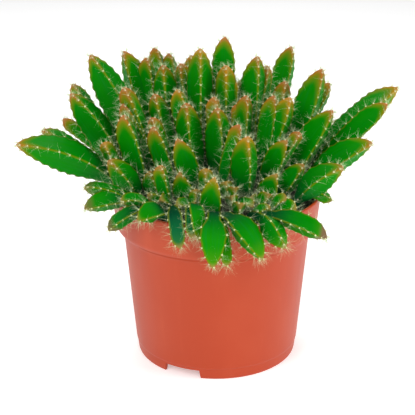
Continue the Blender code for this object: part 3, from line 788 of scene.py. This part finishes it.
draw = random.Random(DRAW_SEED)
grown = []
for plant, plant_axes in zip(PLANTS, axes):
    for axis in plant_axes:
        dry = DRY_STEMS.get(axis.stem.tip, 0.0)
        # shade is painted shade: a darker green on every stem that hangs over the rim, teal on the listed
        # ones
        shade = TEAL_SHADE_STEMS.get(axis.stem.tip, LOW_SHADE if axis.tip.z < LOW_TIP else 0.0)
        sun = min(1.0, max(0.0, (axis.tip.z - SHADE_TIP) / (SUNNY_TIP - SHADE_TIP)))
        grown.append(Row(plant, axis.stem, stations(axis), draw.random(), dry, shade, sun))
print("stations:", sum(len(row.line) for row in grown))


# %% Points with their values
def set_values(mesh, name, values):
    """Store one number or vector for each point of a mesh."""
    if isinstance(values[0], (int, float)):
        mesh.attributes.new(name, "FLOAT", "POINT").data.foreach_set("value", values)
    else:
        flat = [c for vector in values for c in vector]
        mesh.attributes.new(name, "FLOAT_VECTOR", "POINT").data.foreach_set("vector", flat)


def stem_lines(name, rows):
    """A mesh of one chain of edges for each stem, with the values its points carry."""
    all_stations = [station for row in rows for station in row.line]
    edges = []
    start = 0
    for row in rows:
        edges += [(k, k + 1) for k in range(start, start + len(row.line) - 1)]
        start += len(row.line)
    item = mesh_object(name, [station.place for station in all_stations], [], edges)
    set_values(item.data, "facing", [station.facing for station in all_stations])
    set_values(item.data, "side", [station.side for station in all_stations])
    set_values(item.data, "girth", [station.girth * MM for station in all_stations])
    for key in ("share", "phase", "reach"):
        set_values(item.data, key, [getattr(station, key) for station in all_stations])
    for key in ("tone", "dry", "shade", "sun"):
        set_values(item.data, key, [getattr(row, key) for row in rows for _ in row.line])
    return item


print("lines can carry", "facing, side, girth, share, phase, reach, tone, dry, shade and sun")

# %% [markdown]
# ## Growing the stems
#
# A stem's shape follows a rule, so Geometry Nodes grow it: a ring of points is swept along each line
# for the faces, and then every point moves to where the formula of the section puts it. The section is
# a triangle with slightly hollow sides and rounded crests. Each crest swells a little at every areole,
# which gives the scalloped edge. Modelling one stem and bending copies of it would stretch the spacing
# of the areoles.

# %% A tree for geometry
FULL_TURN = 2.0 * math.pi
THIRD = FULL_TURN / 3.0
SIXTH = 0.5 * THIRD
# the sockets of a Random Value node: lowest, highest, seed and the output
RANDOM_SOCKETS = {"FLOAT": (2, 3, 8, 1), "FLOAT_VECTOR": (0, 1, 8, 0)}


def geometry_tree(name, sizes):
    """A Geometry Nodes tree with named inputs; gives the tree and its inputs."""
    group = bpy.data.node_groups.new(name, "GeometryNodeTree")
    group.interface.new_socket("Geometry", in_out="INPUT", socket_type="NodeSocketGeometry")
    for key, value in sizes.items():
        kind = "NodeSocketInt" if isinstance(value, int) else "NodeSocketFloat"
        socket = group.interface.new_socket(key, in_out="INPUT", socket_type=kind)
        socket.default_value = value
    group.interface.new_socket("Material", in_out="INPUT", socket_type="NodeSocketMaterial")
    group.interface.new_socket("Geometry", in_out="OUTPUT", socket_type="NodeSocketGeometry")
    tree = Tree(group)
    entry = group.nodes.new("NodeGroupInput")
    inputs = {socket.name: Flow(tree, socket) for socket in entry.outputs if socket.name}
    return tree, inputs


def end_tree(tree, geometry, material):
    """Realize what is left of instances, set the material and end the tree."""
    real = tree.node("GeometryNodeRealizeInstances", {}, (geometry,))
    painted = tree.node("GeometryNodeSetMaterial", {}, {"Geometry": real, "Material": material})
    final = tree.tree.nodes.new("NodeGroupOutput")
    tree.tree.links.new(painted.socket, final.inputs[0])


def named(tree, name, kind="FLOAT"):
    """The value that each point carries under a name."""
    return tree.node("GeometryNodeInputNamedAttribute", {"data_type": kind}, {"Name": name})


def store(tree, geometry, name, value, kind="FLOAT"):
    """Keep a value on each point under a name."""
    inputs = {"Geometry": geometry, "Name": name, "Value": value}
    return tree.node("GeometryNodeStoreNamedAttribute", {"data_type": kind}, inputs)


def random_value(tree, low, high, seed=0, kind="FLOAT"):
    """A random number or vector for each point."""
    *sockets, output = RANDOM_SOCKETS[kind]
    inputs = dict(zip(sockets, (low, high, seed)))
    return tree.node("FunctionNodeRandomValue", {"data_type": kind}, inputs, output)


print("geometry helpers ready")


# %% Keep what a modifier makes
def settle(item):
    """Put the mesh that an object's modifiers make in the place of its own."""
    bpy.context.view_layer.update()
    evaluated = item.evaluated_get(bpy.context.evaluated_depsgraph_get())
    result = bpy.data.meshes.new_from_object(evaluated)
    item.modifiers.clear()
    old = item.data
    item.data = result
    bpy.data.meshes.remove(old)


def run_tree(item, tree, material):
    """Run a tree on an object, with its sizes as they stand in the tree, and keep the result."""
    modifier = item.modifiers.new("grow", "NODES")
    modifier.node_group = tree.tree
    for socket in tree.tree.interface.items_tree:
        if socket.in_out == "INPUT" and socket.name == "Material":
            modifier[socket.identifier] = material
    settle(item)
    return len(item.data.polygons)


print("results are kept as plain meshes")

# %% The stem tree
VALLEY = 0.46
ROOT_VALLEY = 0.8
ROOT_SHARE = 0.3
CREST_CAP = 1.06
CREST_POWER = 8.0
CREST_NORM = (1.0 + CREST_CAP**-CREST_POWER) ** (-1.0 / CREST_POWER)
CROWD_TO_CREST = 0.6
SCALLOP = 0.045
SECTION_POINTS = 24


def make_stem_tree():
    sizes = {"Section Points": SECTION_POINTS, "Valley": VALLEY, "Scallop": SCALLOP}
    tree, given = geometry_tree("grow_stems", sizes)
    line = tree.node("GeometryNodeMeshToCurve", {}, (given["Geometry"],))
    place = tree.node("GeometryNodeInputPosition")
    line = store(tree, line, "spine", place, "FLOAT_VECTOR")
    ring = tree.node("GeometryNodeCurvePrimitiveCircle", {}, {"Resolution": given["Section Points"]})
    even = tree.node("GeometryNodeSplineParameter") * FULL_TURN
    ring = store(tree, ring, "turn", even - (even * 3.0).math("SINE") * (CROWD_TO_CREST / 3.0))
    inputs = {"Curve": line, "Profile Curve": ring, "Fill Caps": True}
    swept = tree.node("GeometryNodeCurveToMesh", {}, inputs)

    turn = named(tree, "turn")
    share = named(tree, "share")
    from_valley = abs(turn % THIRD - SIXTH)
    near_root = (1.0 - share / ROOT_SHARE).math("MAXIMUM", 0.0)
    valley = given["Valley"] + (ROOT_VALLEY - given["Valley"]) * near_root
    half = math.sin(SIXTH)
    run = from_valley.math("COSINE") * half - (math.cos(SIXTH) - valley) * from_valley.math("SINE")
    straight = valley * half / run
    capped = (straight**-CREST_POWER + CREST_CAP**-CREST_POWER) ** (-1.0 / CREST_POWER) / CREST_NORM
    crest = (from_valley / SIXTH) ** 2.0
    rib = (turn / THIRD + 0.5).math("FLOOR")
    beat = ((named(tree, "phase") + rib / 3.0) * FULL_TURN).math("COSINE")
    radius = named(tree, "girth") * capped * (1.0 + given["Scallop"] * crest**2.0 * beat)
    facing = named(tree, "facing", "FLOAT_VECTOR").times(turn.math("COSINE") * radius)
    side = named(tree, "side", "FLOAT_VECTOR").times(turn.math("SINE") * radius)
    goal = named(tree, "spine", "FLOAT_VECTOR").vector("ADD", facing).vector("ADD", side)
    moved = tree.node("GeometryNodeSetPosition", {}, {"Geometry": swept, "Position": goal})
    moved = store(tree, moved, "crest", crest)
    inputs = {"Geometry": moved, "Shade Smooth": True}
    smooth = tree.node("GeometryNodeSetShadeSmooth", {}, inputs)
    end_tree(tree, smooth, given["Material"])
    return tree


stem_tree = make_stem_tree()
total = 0
for number, plant in enumerate(PLANTS):
    rows = [row for row in grown if row.plant is plant]
    piece = stem_lines(f"stems_{number + 1:02d}", rows)
    total += run_tree(piece, stem_tree, skin)
    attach(piece, "root")
    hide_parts(f"plant_{number + 1:02d}")
print("faces on the stems:", total)

# %% [markdown]
# ## Areoles along the crests
#
# The areoles sit where the phase of a rib is a whole number, which is also where its crest swells.
# Their places are found along each line of stations. Each one keeps the direction out of the rib, a
# size, an age, how much painted shade it gets low on the stem, and its share of the length. One tree
# then sets a tuft of wool on every one, and another its bristles. Bristles are longer near the root and
# closer together at the tip.

# %% Places along the ribs
def crossings(line):
    """Where a rib's phase passes a whole number: its angle, the stations around and the part between."""
    for rib in range(3):
        for low, high in zip(line, line[1:]):
            first = low.phase + rib / 3.0
            last = high.phase + rib / 3.0
            if math.floor(first) != math.floor(last):
                yield rib * THIRD, low, high, (first - math.floor(first)) / (first - last)


def room_around(place):
    """How far a place lies inside the box of the plain solids."""
    low, high = (Vector(corner) / MM for corner in cad_box)
    return max(0.0, min(*(place - low), *(high - place)))


print("the first stem has", len(list(crossings(grown[0].line))), "areoles")

# %% Find the areoles
# lengths and sizes are in millimetres; a zone is a length at the tip, a share one of the whole stem
LEAN_UP = 0.25
TIP_LEAN = 1.6
TIP_LEAN_FROM = 0.85
TIP_LEAN_ZONE = 0.15
YOUNG_ZONE = 5.0
YOUNG_LEAST = 0.25
YOUNG_BY_SUN = 1.2
# these set how far up a stem the painted shade on the tufts reaches
FULL_TUFT_SHADE = 1.2
TUFT_SHADE_SHARE = 0.5
WOOL_SIZE = 0.5
WOOL_VARIES = (0.8, 1.2)
WOOL_LEAST = 0.55
WOOL_FULL_WIDTH = 26.0
LOW_SHARE = 0.4
HAIRS_ROOT = 6
HAIRS = 8
TIP_HAIRS = 12
HAIRS_LEAST = 0.3
HAIRS_FULL_WIDTH = 20.0
HAIR_LENGTHS = (4.2, 7.0)
LONG_HAIR = 2.0
SHORT_AT_TIP = 0.5
PROUD = 3.0
HAIR_RADIUS = 0.038
Areole = namedtuple("Areole", "place out share young old size hairs length stout")


def areole(row, angle, low, high, part):
    """The areole that lies a part of the way between two stations of a stem."""
    width = row.stem.width
    share = low.share + (high.share - low.share) * part
    place = low.place.lerp(high.place, part)
    wide = low.girth + (high.girth - low.girth) * part
    out = (low.facing * math.cos(angle) + low.side * math.sin(angle)).normalized()
    along = (high.place - low.place).normalized()
    up = LEAN_UP + TIP_LEAN * max(0.0, share - TIP_LEAN_FROM) / TIP_LEAN_ZONE
    seat = place + out * wide
    to_tip = (row.line[-1].place - place).length / YOUNG_ZONE
    near_tip = math.exp(-to_tip)
    low_down = max(0.0, 1.0 - share / LOW_SHARE)
    young = min(1.0, YOUNG_LEAST + YOUNG_BY_SUN * row.sun) * math.exp(-(to_tip**2))
    # old is painted shade: it darkens tufts low on a stem, deep among the crowded stems
    old = min(1.0, max(0.0, FULL_TUFT_SHADE - share / TUFT_SHADE_SHARE))
    size = WOOL_SIZE * draw.uniform(*WOOL_VARIES) * min(1.0, WOOL_LEAST + width / WOOL_FULL_WIDTH)
    hairs = HAIRS + (HAIRS_ROOT - HAIRS) * low_down + TIP_HAIRS * near_tip
    hairs = round(hairs * min(1.0, HAIRS_LEAST + width / HAIRS_FULL_WIDTH))
    shorter = SHORT_AT_TIP * near_tip if row.stem.tip[2] > LOW_TIP else 0.0
    length = draw.uniform(*HAIR_LENGTHS) + LONG_HAIR * low_down
    length = min(length * (1.0 - shorter), room_around(seat) + PROUD)
    stout = HAIR_RADIUS * (1.0 + shorter)
    lean = (out + along * up).normalized()
    return Areole(seat, lean, share, young, old, size, hairs, length, stout)


areoles = []
for row in grown:
    areoles += [areole(row, *found) for found in crossings(row.line)]
print("areoles:", len(areoles))
print("bristles:", sum(tuft.hairs for tuft in areoles))


# %% Points for the areoles
def areole_points(name, tufts):
    """A mesh of loose points, one for each areole, with the values it carries."""
    item = mesh_object(name, [tuft.place for tuft in tufts], [])
    set_values(item.data, "out", [tuft.out for tuft in tufts])
    for key in ("young", "old", "hairs"):
        set_values(item.data, key, [float(getattr(tuft, key)) for tuft in tufts])
    for key in ("size", "length", "stout"):
        set_values(item.data, key, [getattr(tuft, key) * MM for tuft in tufts])
    return item


print("areoles can carry out, young, old, hairs, size, length and stout")


# %% Wool on every areole
def make_wool_tree():
    tree, given = geometry_tree("areole_wool", {"Squash": 0.75, "Roundness": 1})
    points = tree.node("GeometryNodeMeshToPoints", {}, {"Mesh": given["Geometry"]})
    ball = tree.node("GeometryNodeMeshIcoSphere", {}, {"Radius": 1.0, "Subdivisions": given["Roundness"]})
    out = named(tree, "out", "FLOAT_VECTOR")
    aim = tree.node("FunctionNodeAlignRotationToVector", {"axis": "Z"}, {"Vector": out})
    size = named(tree, "size")
    scale = tree.node("ShaderNodeCombineXYZ", {}, (size, size, size * given["Squash"]))
    inputs = {"Points": points, "Instance": ball, "Rotation": aim, "Scale": scale}
    tufts = tree.node("GeometryNodeInstanceOnPoints", {}, inputs)
    real = tree.node("GeometryNodeRealizeInstances", {}, (tufts,))
    smooth = tree.node("GeometryNodeSetShadeSmooth", {}, {"Geometry": real, "Shade Smooth": True})
    end_tree(tree, smooth, given["Material"])
    return tree


wool = areole_points("areole_wool", areoles)
print("faces of wool:", run_tree(wool, make_wool_tree(), wool_material))
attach(wool, "root")


# %% Bristles on every areole
HAIR_VARIES = (0.55, 1.25)
# shares of a stem's length; a piece with every bristle would have too many triangles
GROUPS = {"lower": (0.0, 0.45), "middle": (0.45, 0.85), "upper": (0.85, 1.01)}


def make_hair_tree():
    sizes = {"Blunt": 0.25, "Spread": 1.0, "Sides": 3, "Seed": 3}
    tree, given = geometry_tree("bristles", sizes)
    points = tree.node("GeometryNodeMeshToPoints", {}, {"Mesh": given["Geometry"]})
    inputs = {"Geometry": points, "Amount": named(tree, "hairs")}
    copies = tree.node("GeometryNodeDuplicateElements", {"domain": "POINT"}, inputs)
    spread = random_value(tree, (-1.0, -1.0, -1.0), (1.0, 1.0, 1.0), given["Seed"], "FLOAT_VECTOR")
    vary = random_value(tree, *HAIR_VARIES, given["Seed"])
    aim = named(tree, "out", "FLOAT_VECTOR").vector("ADD", spread.times(given["Spread"]))
    turned = tree.node("FunctionNodeAlignRotationToVector", {"axis": "Z"}, {"Vector": aim})
    inputs = {"Vertices": given["Sides"], "Radius Top": given["Blunt"]}
    inputs.update({"Radius Bottom": 1.0, "Depth": 1.0})
    cone = tree.node("GeometryNodeMeshCone", {"fill_type": "NGON"}, inputs)
    stout = named(tree, "stout")
    scale = tree.node("ShaderNodeCombineXYZ", {}, (stout, stout, named(tree, "length") * vary))
    inputs = {"Points": copies, "Instance": cone, "Rotation": turned, "Scale": scale}
    hairs = tree.node("GeometryNodeInstanceOnPoints", {}, inputs)
    end_tree(tree, hairs, given["Material"])
    return tree


hair_tree = make_hair_tree()
for name, (low, high) in GROUPS.items():
    tufts = [tuft for tuft in areoles if low <= tuft.share < high]
    bristles = areole_points(f"bristles_{name}", tufts)
    print("faces of bristles,", name, run_tree(bristles, hair_tree, bristle_material))
    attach(bristles, "root")

# %% [markdown]
# ## The pot
#
# A nursery pot is moulded from thin plastic and its steps are softly rounded. Its wall is a turned
# profile, drawn here from the same sizes as the solid it replaces. Every corner gets a short curve
# before the profile is turned, which is simpler to control than a bevel on the finished mesh.

# %% The pot's sizes
POT_HEIGHT = 99.0
WALL = 1.5
COLLAR_FOOT = 77.5
COLLAR_FLARE = 1.5
COLLAR_STEP = 4.3
COLLAR_ROUND = 2.5
LIP_HEIGHT = 4.5
LIP_ROUND = 0.3
BODY_TAPER = 5.9
FOOT_HEIGHT = 6.6
FOOT_STEP = 0.5
FOOT_ROUND = 0.8
FOOT_WIDTH = 1.5
FLOOR_THICKNESS = 1.8
FLOOR_ROUND = 1.5
NOTCH_ANGLES = (-25.0, 155.0)
NOTCH_SPREAD = 13.0
NOTCH_SLOPE = 1.5
NOTCH_HEIGHT = 5.2
NOTCH_REACH = 6.0
DRAIN_RADIUS = 4.0
DRAIN_CIRCLE = 28.0
DRAIN_COUNT = 6
DRAIN_SIDES = 24
CUT_PAST = 2.0
SHARP_ANGLE = 40.0


def body_radius(height):
    """Outer radius of the tapered wall between the foot and the collar."""
    top = RIM_RADIUS - COLLAR_FLARE - COLLAR_STEP
    return top - BODY_TAPER * (COLLAR_FOOT - height) / (COLLAR_FOOT - FOOT_HEIGHT)


def inner_wall():
    """The inside of the pot from the floor to just under the lip, as radius and height."""
    floor_height = FOOT_HEIGHT + FLOOR_THICKNESS
    corner = body_radius(floor_height) - WALL
    return [
        (corner - FLOOR_ROUND, floor_height),
        (corner, floor_height + FLOOR_ROUND),
        (body_radius(COLLAR_FOOT) - WALL, COLLAR_FOOT - WALL),
        (RIM_RADIUS - COLLAR_FLARE - WALL, COLLAR_FOOT + COLLAR_STEP - WALL),
        (RIM_RADIUS - WALL - LIP_ROUND, POT_HEIGHT - LIP_HEIGHT),
    ]


print("wall radius at the foot:", round(body_radius(0.0), 1), "mm")

# %% Turned bodies with rounded corners
POT_SIDES = 144
CORNER_SHARE = 0.3
CORNER_POINTS = 4
LONGEST_CORNER = 1.6


def rounded(profile):
    """Replace each inner corner of a profile with a short curve."""
    result = [profile[0]]
    for before, corner, after in zip(profile, profile[1:], profile[2:]):
        corner_v = Vector(corner)
        into = Vector(before) - corner_v
        out = Vector(after) - corner_v
        reach_in = min(CORNER_SHARE * into.length, LONGEST_CORNER)
        reach_out = min(CORNER_SHARE * out.length, LONGEST_CORNER)
        start = corner_v + into.normalized() * reach_in
        end = corner_v + out.normalized() * reach_out
        for k in range(CORNER_POINTS):
            t = k / (CORNER_POINTS - 1)
            curve = start * (1 - t) ** 2 + corner_v * 2 * t * (1 - t) + end * t**2
            result.append((curve.x, curve.y))
    return result + [profile[-1]]


def turned(name, profile, sides):
    """A solid of revolution; the profile runs from the axis to the axis."""
    points = []
    rings = []
    for radius, height in profile:
        if radius == 0.0:
            rings.append([len(points)] * sides)
            points.append((0.0, 0.0, height))
            continue
        rings.append([len(points) + k for k in range(sides)])
        for k in range(sides):
            angle = FULL_TURN * k / sides
            points.append((radius * math.cos(angle), radius * math.sin(angle), height))
    faces = []
    for upper, lower in zip(rings, rings[1:]):
        for k in range(sides):
            j = (k + 1) % sides
            faces.append(tuple(dict.fromkeys([upper[k], lower[k], lower[j], upper[j]])))
    return mesh_object(name, points, faces)


print("a ring has", POT_SIDES, "points")

# %% [markdown]
# Two notches in the foot, a drainage hole in the middle and a ring of them are cut with a Boolean,
# which is simpler than leaving gaps in a turned wall. A notch is a wedge whose sides slope, as the
# mould needs in order to let go of the part.


# %% Cutters for the pot
def prism(name, rings):
    """A closed body between two rings of the same number of points."""
    sides = len(rings[0])
    faces = [tuple(reversed(range(sides))), tuple(range(sides, 2 * sides))]
    for k in range(sides):
        j = (k + 1) % sides
        faces.append((k, j, sides + j, sides + k))
    return mesh_object(name, rings[0] + rings[1], faces)


def notch(angle):
    """A wedge that opens the foot; angle is measured from the front, to the right."""
    wide = NOTCH_SPREAD + NOTCH_SLOPE
    corners = [(-wide, -CUT_PAST), (wide, -CUT_PAST)]
    corners += [(NOTCH_SPREAD, NOTCH_HEIGHT), (-NOTCH_SPREAD, NOTCH_HEIGHT)]
    rings = []
    for radius in (body_radius(0.0) - NOTCH_REACH, body_radius(0.0) + NOTCH_REACH):
        turns = [(math.radians(angle + spread), height) for spread, height in corners]
        rings.append([(radius * math.sin(turn), -radius * math.cos(turn), height) for turn, height in turns])
    return prism("notch", rings)


def drain(x, y):
    """A cutter for one drainage hole."""
    rings = []
    for height in (FOOT_HEIGHT - CUT_PAST, FOOT_HEIGHT + FLOOR_THICKNESS + CUT_PAST):
        turns = [FULL_TURN * k / DRAIN_SIDES for k in range(DRAIN_SIDES)]
        spokes = [(DRAIN_RADIUS * math.cos(turn), DRAIN_RADIUS * math.sin(turn)) for turn in turns]
        rings.append([(x + across, y + ahead, height) for across, ahead in spokes])
    return prism("drain", rings)


def cut(item, cutters):
    """Take several bodies out of an object."""
    group = bpy.data.collections.new("cutters")
    bpy.context.scene.collection.children.link(group)
    for cutter in cutters:
        group.objects.link(cutter)
    modifier = item.modifiers.new("cut", "BOOLEAN")
    modifier.operation = "DIFFERENCE"
    modifier.operand_type = "COLLECTION"
    modifier.collection = group
    modifier.solver = "EXACT"
    settle(item)
    for cutter in cutters:
        mesh = cutter.data
        bpy.data.objects.remove(cutter)
        bpy.data.meshes.remove(mesh)
    bpy.data.collections.remove(group)


print("a notch is", NOTCH_HEIGHT, "mm high")

# %% The pot itself
collar = RIM_RADIUS - COLLAR_FLARE
wall_top = body_radius(COLLAR_FOOT)
wall_foot = body_radius(FOOT_HEIGHT)
foot = body_radius(0.0) - FOOT_ROUND
outside = [
    (RIM_RADIUS - WALL + LIP_ROUND, POT_HEIGHT),
    (RIM_RADIUS - LIP_ROUND, POT_HEIGHT),
    (RIM_RADIUS + LIP_ROUND, POT_HEIGHT - 2.0 * LIP_ROUND),
    (RIM_RADIUS, POT_HEIGHT - LIP_HEIGHT),
    (collar, COLLAR_FOOT + COLLAR_ROUND),
    (collar - 0.4 * COLLAR_ROUND, COLLAR_FOOT + 0.2 * COLLAR_ROUND),
    (wall_top + 0.4 * COLLAR_ROUND, COLLAR_FOOT - 0.3 * COLLAR_ROUND),
    (wall_top, COLLAR_FOOT - COLLAR_ROUND),
    (wall_foot, FOOT_HEIGHT + FOOT_STEP),
    (wall_foot - FOOT_STEP, FOOT_HEIGHT),
    (foot + 0.5 * FOOT_ROUND, 1.5 * FOOT_ROUND),
    (foot, 0.0),
    (foot - FOOT_WIDTH, 0.0),
    (foot - FOOT_WIDTH - LIP_ROUND, FOOT_HEIGHT),
]
floor_height = FOOT_HEIGHT + FLOOR_THICKNESS
profile = rounded([(0.0, floor_height)] + inner_wall() + outside + [(0.0, FOOT_HEIGHT)])
profile.reverse()
pot = turned("nursery_pot", profile, POT_SIDES)
places = [(0.0, 0.0)]
for number in range(DRAIN_COUNT):
    angle = FULL_TURN * number / DRAIN_COUNT
    places.append((DRAIN_CIRCLE * math.cos(angle), DRAIN_CIRCLE * math.sin(angle)))
cut(pot, [notch(angle) for angle in NOTCH_ANGLES] + [drain(*place) for place in places])
pot.data.shade_smooth()
pot.data.set_sharp_from_angle(angle=math.radians(SHARP_ANGLE))
print("faces of the pot:", len(pot.data.polygons))

# %% [markdown]
# ## Terracotta-coloured plastic
#
# The plastic is dyed through and has a satin surface with a very fine mould texture. Handling and
# watering leave faint dull streaks. A photograph of streaks would repeat round the wall, so they are
# stretched noise that runs down it, and they change the roughness as well as the colour. The crease
# below the collar gets a painted shadow, and it is rougher than the wall there too.

# %% The plastic
TERRACOTTA = (0.43, 0.044, 0.007)
TERRACOTTA_PALE = (0.54, 0.088, 0.030)
# a painted shadow for the crease under the collar
CREASE_SHADE = (0.26, 0.030, 0.007)
STREAK_STRETCH = (1.0, 1.0, 0.12)
DULL_STREAKS = 90.0
DULL_STEP = (0.5, 0.8)
CLOUDS = 22.0
CLOUD_STEP = (0.45, 0.75)
MOULD_GRAIN = 2600.0
STREAK_DUST = 0.25
CLOUD_DUST = 0.22
CREASE_BELOW = 0.6
CREASE_WIDTH = (1.6, 0.6)
CREASE_SHADE_AMOUNT = 0.3
PLASTIC_SHEEN = 0.34
STREAK_DULLING = 0.2
CREASE_DULLING = 0.4


def make_plastic():
    material = paint("terracotta_plastic", TERRACOTTA, 0.4, 0.35)
    tree = Tree(material.node_tree)
    place = tree.object_place()
    stretch = tree.node("ShaderNodeMapping", {}, {"Vector": place, "Scale": STREAK_STRETCH})
    streaks = tree.noise(stretch, DULL_STREAKS, 4.0, 0.6)
    clouds = tree.noise(place, CLOUDS, 3.0)
    dust = streaks.between(*DULL_STEP) * STREAK_DUST + clouds.between(*CLOUD_STEP) * CLOUD_DUST
    colour = tree.blend(dust.clamp(), TERRACOTTA, TERRACOTTA_PALE)
    height = tree.node("ShaderNodeSeparateXYZ", {}, (place,), 2)
    wide, narrow = CREASE_WIDTH
    crease = abs(height - (COLLAR_FOOT - CREASE_BELOW) * MM).between(wide * MM, narrow * MM)
    # painted shadow along the crease under the collar
    colour = tree.blend(crease * CREASE_SHADE_AMOUNT, colour, CREASE_SHADE)
    dull = PLASTIC_SHEEN + STREAK_DULLING * streaks + CREASE_DULLING * crease
    bump = tree.bump(tree.noise(place, MOULD_GRAIN), 0.12, 0.2)
    finish(material, Base_Color=colour, Roughness=dull, Normal=bump)
    return material


pot.data.materials.append(make_plastic())
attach(pot, "root")
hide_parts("pot")
print("pot painted")

# %% [markdown]
# ## The peat
#
# The peat is dark, crumbly and uneven, with some pale fibres. Its bed is one closed plug whose top is
# pushed up and down by noise, and a tree scatters crumbs on it. Noise alone gives no loose crumbs, and
# a bed fine enough to shape each of them would need far more faces.

# %% The peat bed
GAP = 0.35
SOIL_RINGS = 34
PEAT_LUMPS = 1.1
LUMP_LENGTH = 5.0
PEAT_GRAIN = 0.5
GRAIN_LENGTH = 1.4
GRAIN_LEVEL = 9.0
SMOOTH_EDGE = 3.0

wall = [(radius - GAP, height + GAP) for radius, height in inner_wall()[:-1]]
wall.append((inner_wall()[-1][0] - GAP, SOIL_EDGE))
edge_radius = wall[-1][0]
top = [(edge_radius * (1.0 - k / SOIL_RINGS), 0.0) for k in range(1, SOIL_RINGS + 1)]
peat_bed = turned("peat_bed", [(0.0, wall[0][1])] + wall + top, POT_SIDES)
for vertex in peat_bed.data.vertices:
    if vertex.co.z == 0.0:
        x, y = vertex.co.x / MM, vertex.co.y / MM
        inside = min(1.0, (edge_radius - math.hypot(x, y)) / SMOOTH_EDGE)
        lumps = PEAT_LUMPS * noise.noise(Vector((x, y, 0.0)) / LUMP_LENGTH)
        grain = PEAT_GRAIN * noise.noise(Vector((x, y, GRAIN_LEVEL)) / GRAIN_LENGTH)
        vertex.co.z = (soil_height(x, y) + inside * (lumps + grain)) * MM
peat_bed.data.shade_smooth()
print("faces of the peat bed:", len(peat_bed.data.polygons))

# %% The peat's colours
PEAT_DARK = (0.012, 0.009, 0.008)
PEAT_BROWN = (0.038, 0.025, 0.018)
PEAT_PALE = (0.11, 0.080, 0.060)
LUMP_SCALE = 420.0
LUMP_STEP = (0.35, 0.65)
FIBRE_SCALE = 1500.0
FIBRE_STEP = (0.6, 0.75)
FIBRE_AMOUNT = 0.7
FIBRE_BUMP = 0.4


def make_peat():
    material = paint("peat", PEAT_BROWN, 0.95)
    tree = Tree(material.node_tree)
    place = tree.object_place()
    lump = tree.noise(place, LUMP_SCALE, 4.0, 0.65)
    fibre = tree.noise(place, FIBRE_SCALE)
    colour = tree.blend(lump.between(*LUMP_STEP), PEAT_DARK, PEAT_BROWN)
    colour = tree.blend(fibre.between(*FIBRE_STEP) * FIBRE_AMOUNT, colour, PEAT_PALE)
    finish(material, Base_Color=colour, Normal=tree.bump(lump + FIBRE_BUMP * fibre, 0.9, 1.0))
    return material


peat_material = make_peat()
peat_bed.data.materials.append(peat_material)
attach(peat_bed, "root")
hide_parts("soil")
print("peat painted")

# %% Crumbs on the peat
# crumbs for each square metre, and their sizes as radii in millimetres
CRUMBS = {"Density": 170000.0, "Smallest": 0.25, "Largest": 1.1, "Seed": 5}
CRUMBS_ABOVE = 92.5
FEW_LARGE = 3.0
CRUMB_LENGTHS = (0.5, 1.4)
CRUMB_FLATNESS = 0.7
LENGTH_SEED = 11
MOST_TURNED = (6.0, 6.0, 6.0)


def make_crumb_tree():
    tree, given = geometry_tree("peat_crumbs", CRUMBS)
    height = tree.node("ShaderNodeSeparateXYZ", {}, (tree.node("GeometryNodeInputPosition"),), 2)
    on_top = height.math("GREATER_THAN", CRUMBS_ABOVE * MM)
    inputs = {"Mesh": given["Geometry"], "Selection": on_top, "Density": given["Density"]}
    inputs["Seed"] = given["Seed"]
    points = tree.node("GeometryNodeDistributePointsOnFaces", {}, inputs)
    ball = tree.node("GeometryNodeMeshIcoSphere", {}, {"Radius": MM, "Subdivisions": 1})
    turn = random_value(tree, (0.0, 0.0, 0.0), MOST_TURNED, kind="FLOAT_VECTOR")
    low, high = given["Smallest"], given["Largest"]
    size = low + (high - low) * random_value(tree, 0.0, 1.0, given["Seed"]) ** FEW_LARGE
    longer = random_value(tree, *CRUMB_LENGTHS, LENGTH_SEED)
    scale = tree.node("ShaderNodeCombineXYZ", {}, (size, size * longer, size * CRUMB_FLATNESS))
    inputs = {"Points": points, "Instance": ball, "Rotation": turn, "Scale": scale}
    end_tree(tree, tree.node("GeometryNodeInstanceOnPoints", {}, inputs), given["Material"])
    return tree


crumbs = bpy.data.objects.new("peat_crumbs", peat_bed.data.copy())
bpy.context.scene.collection.objects.link(crumbs)
print("faces of crumbs:", run_tree(crumbs, make_crumb_tree(), peat_material))
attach(crumbs, "root")
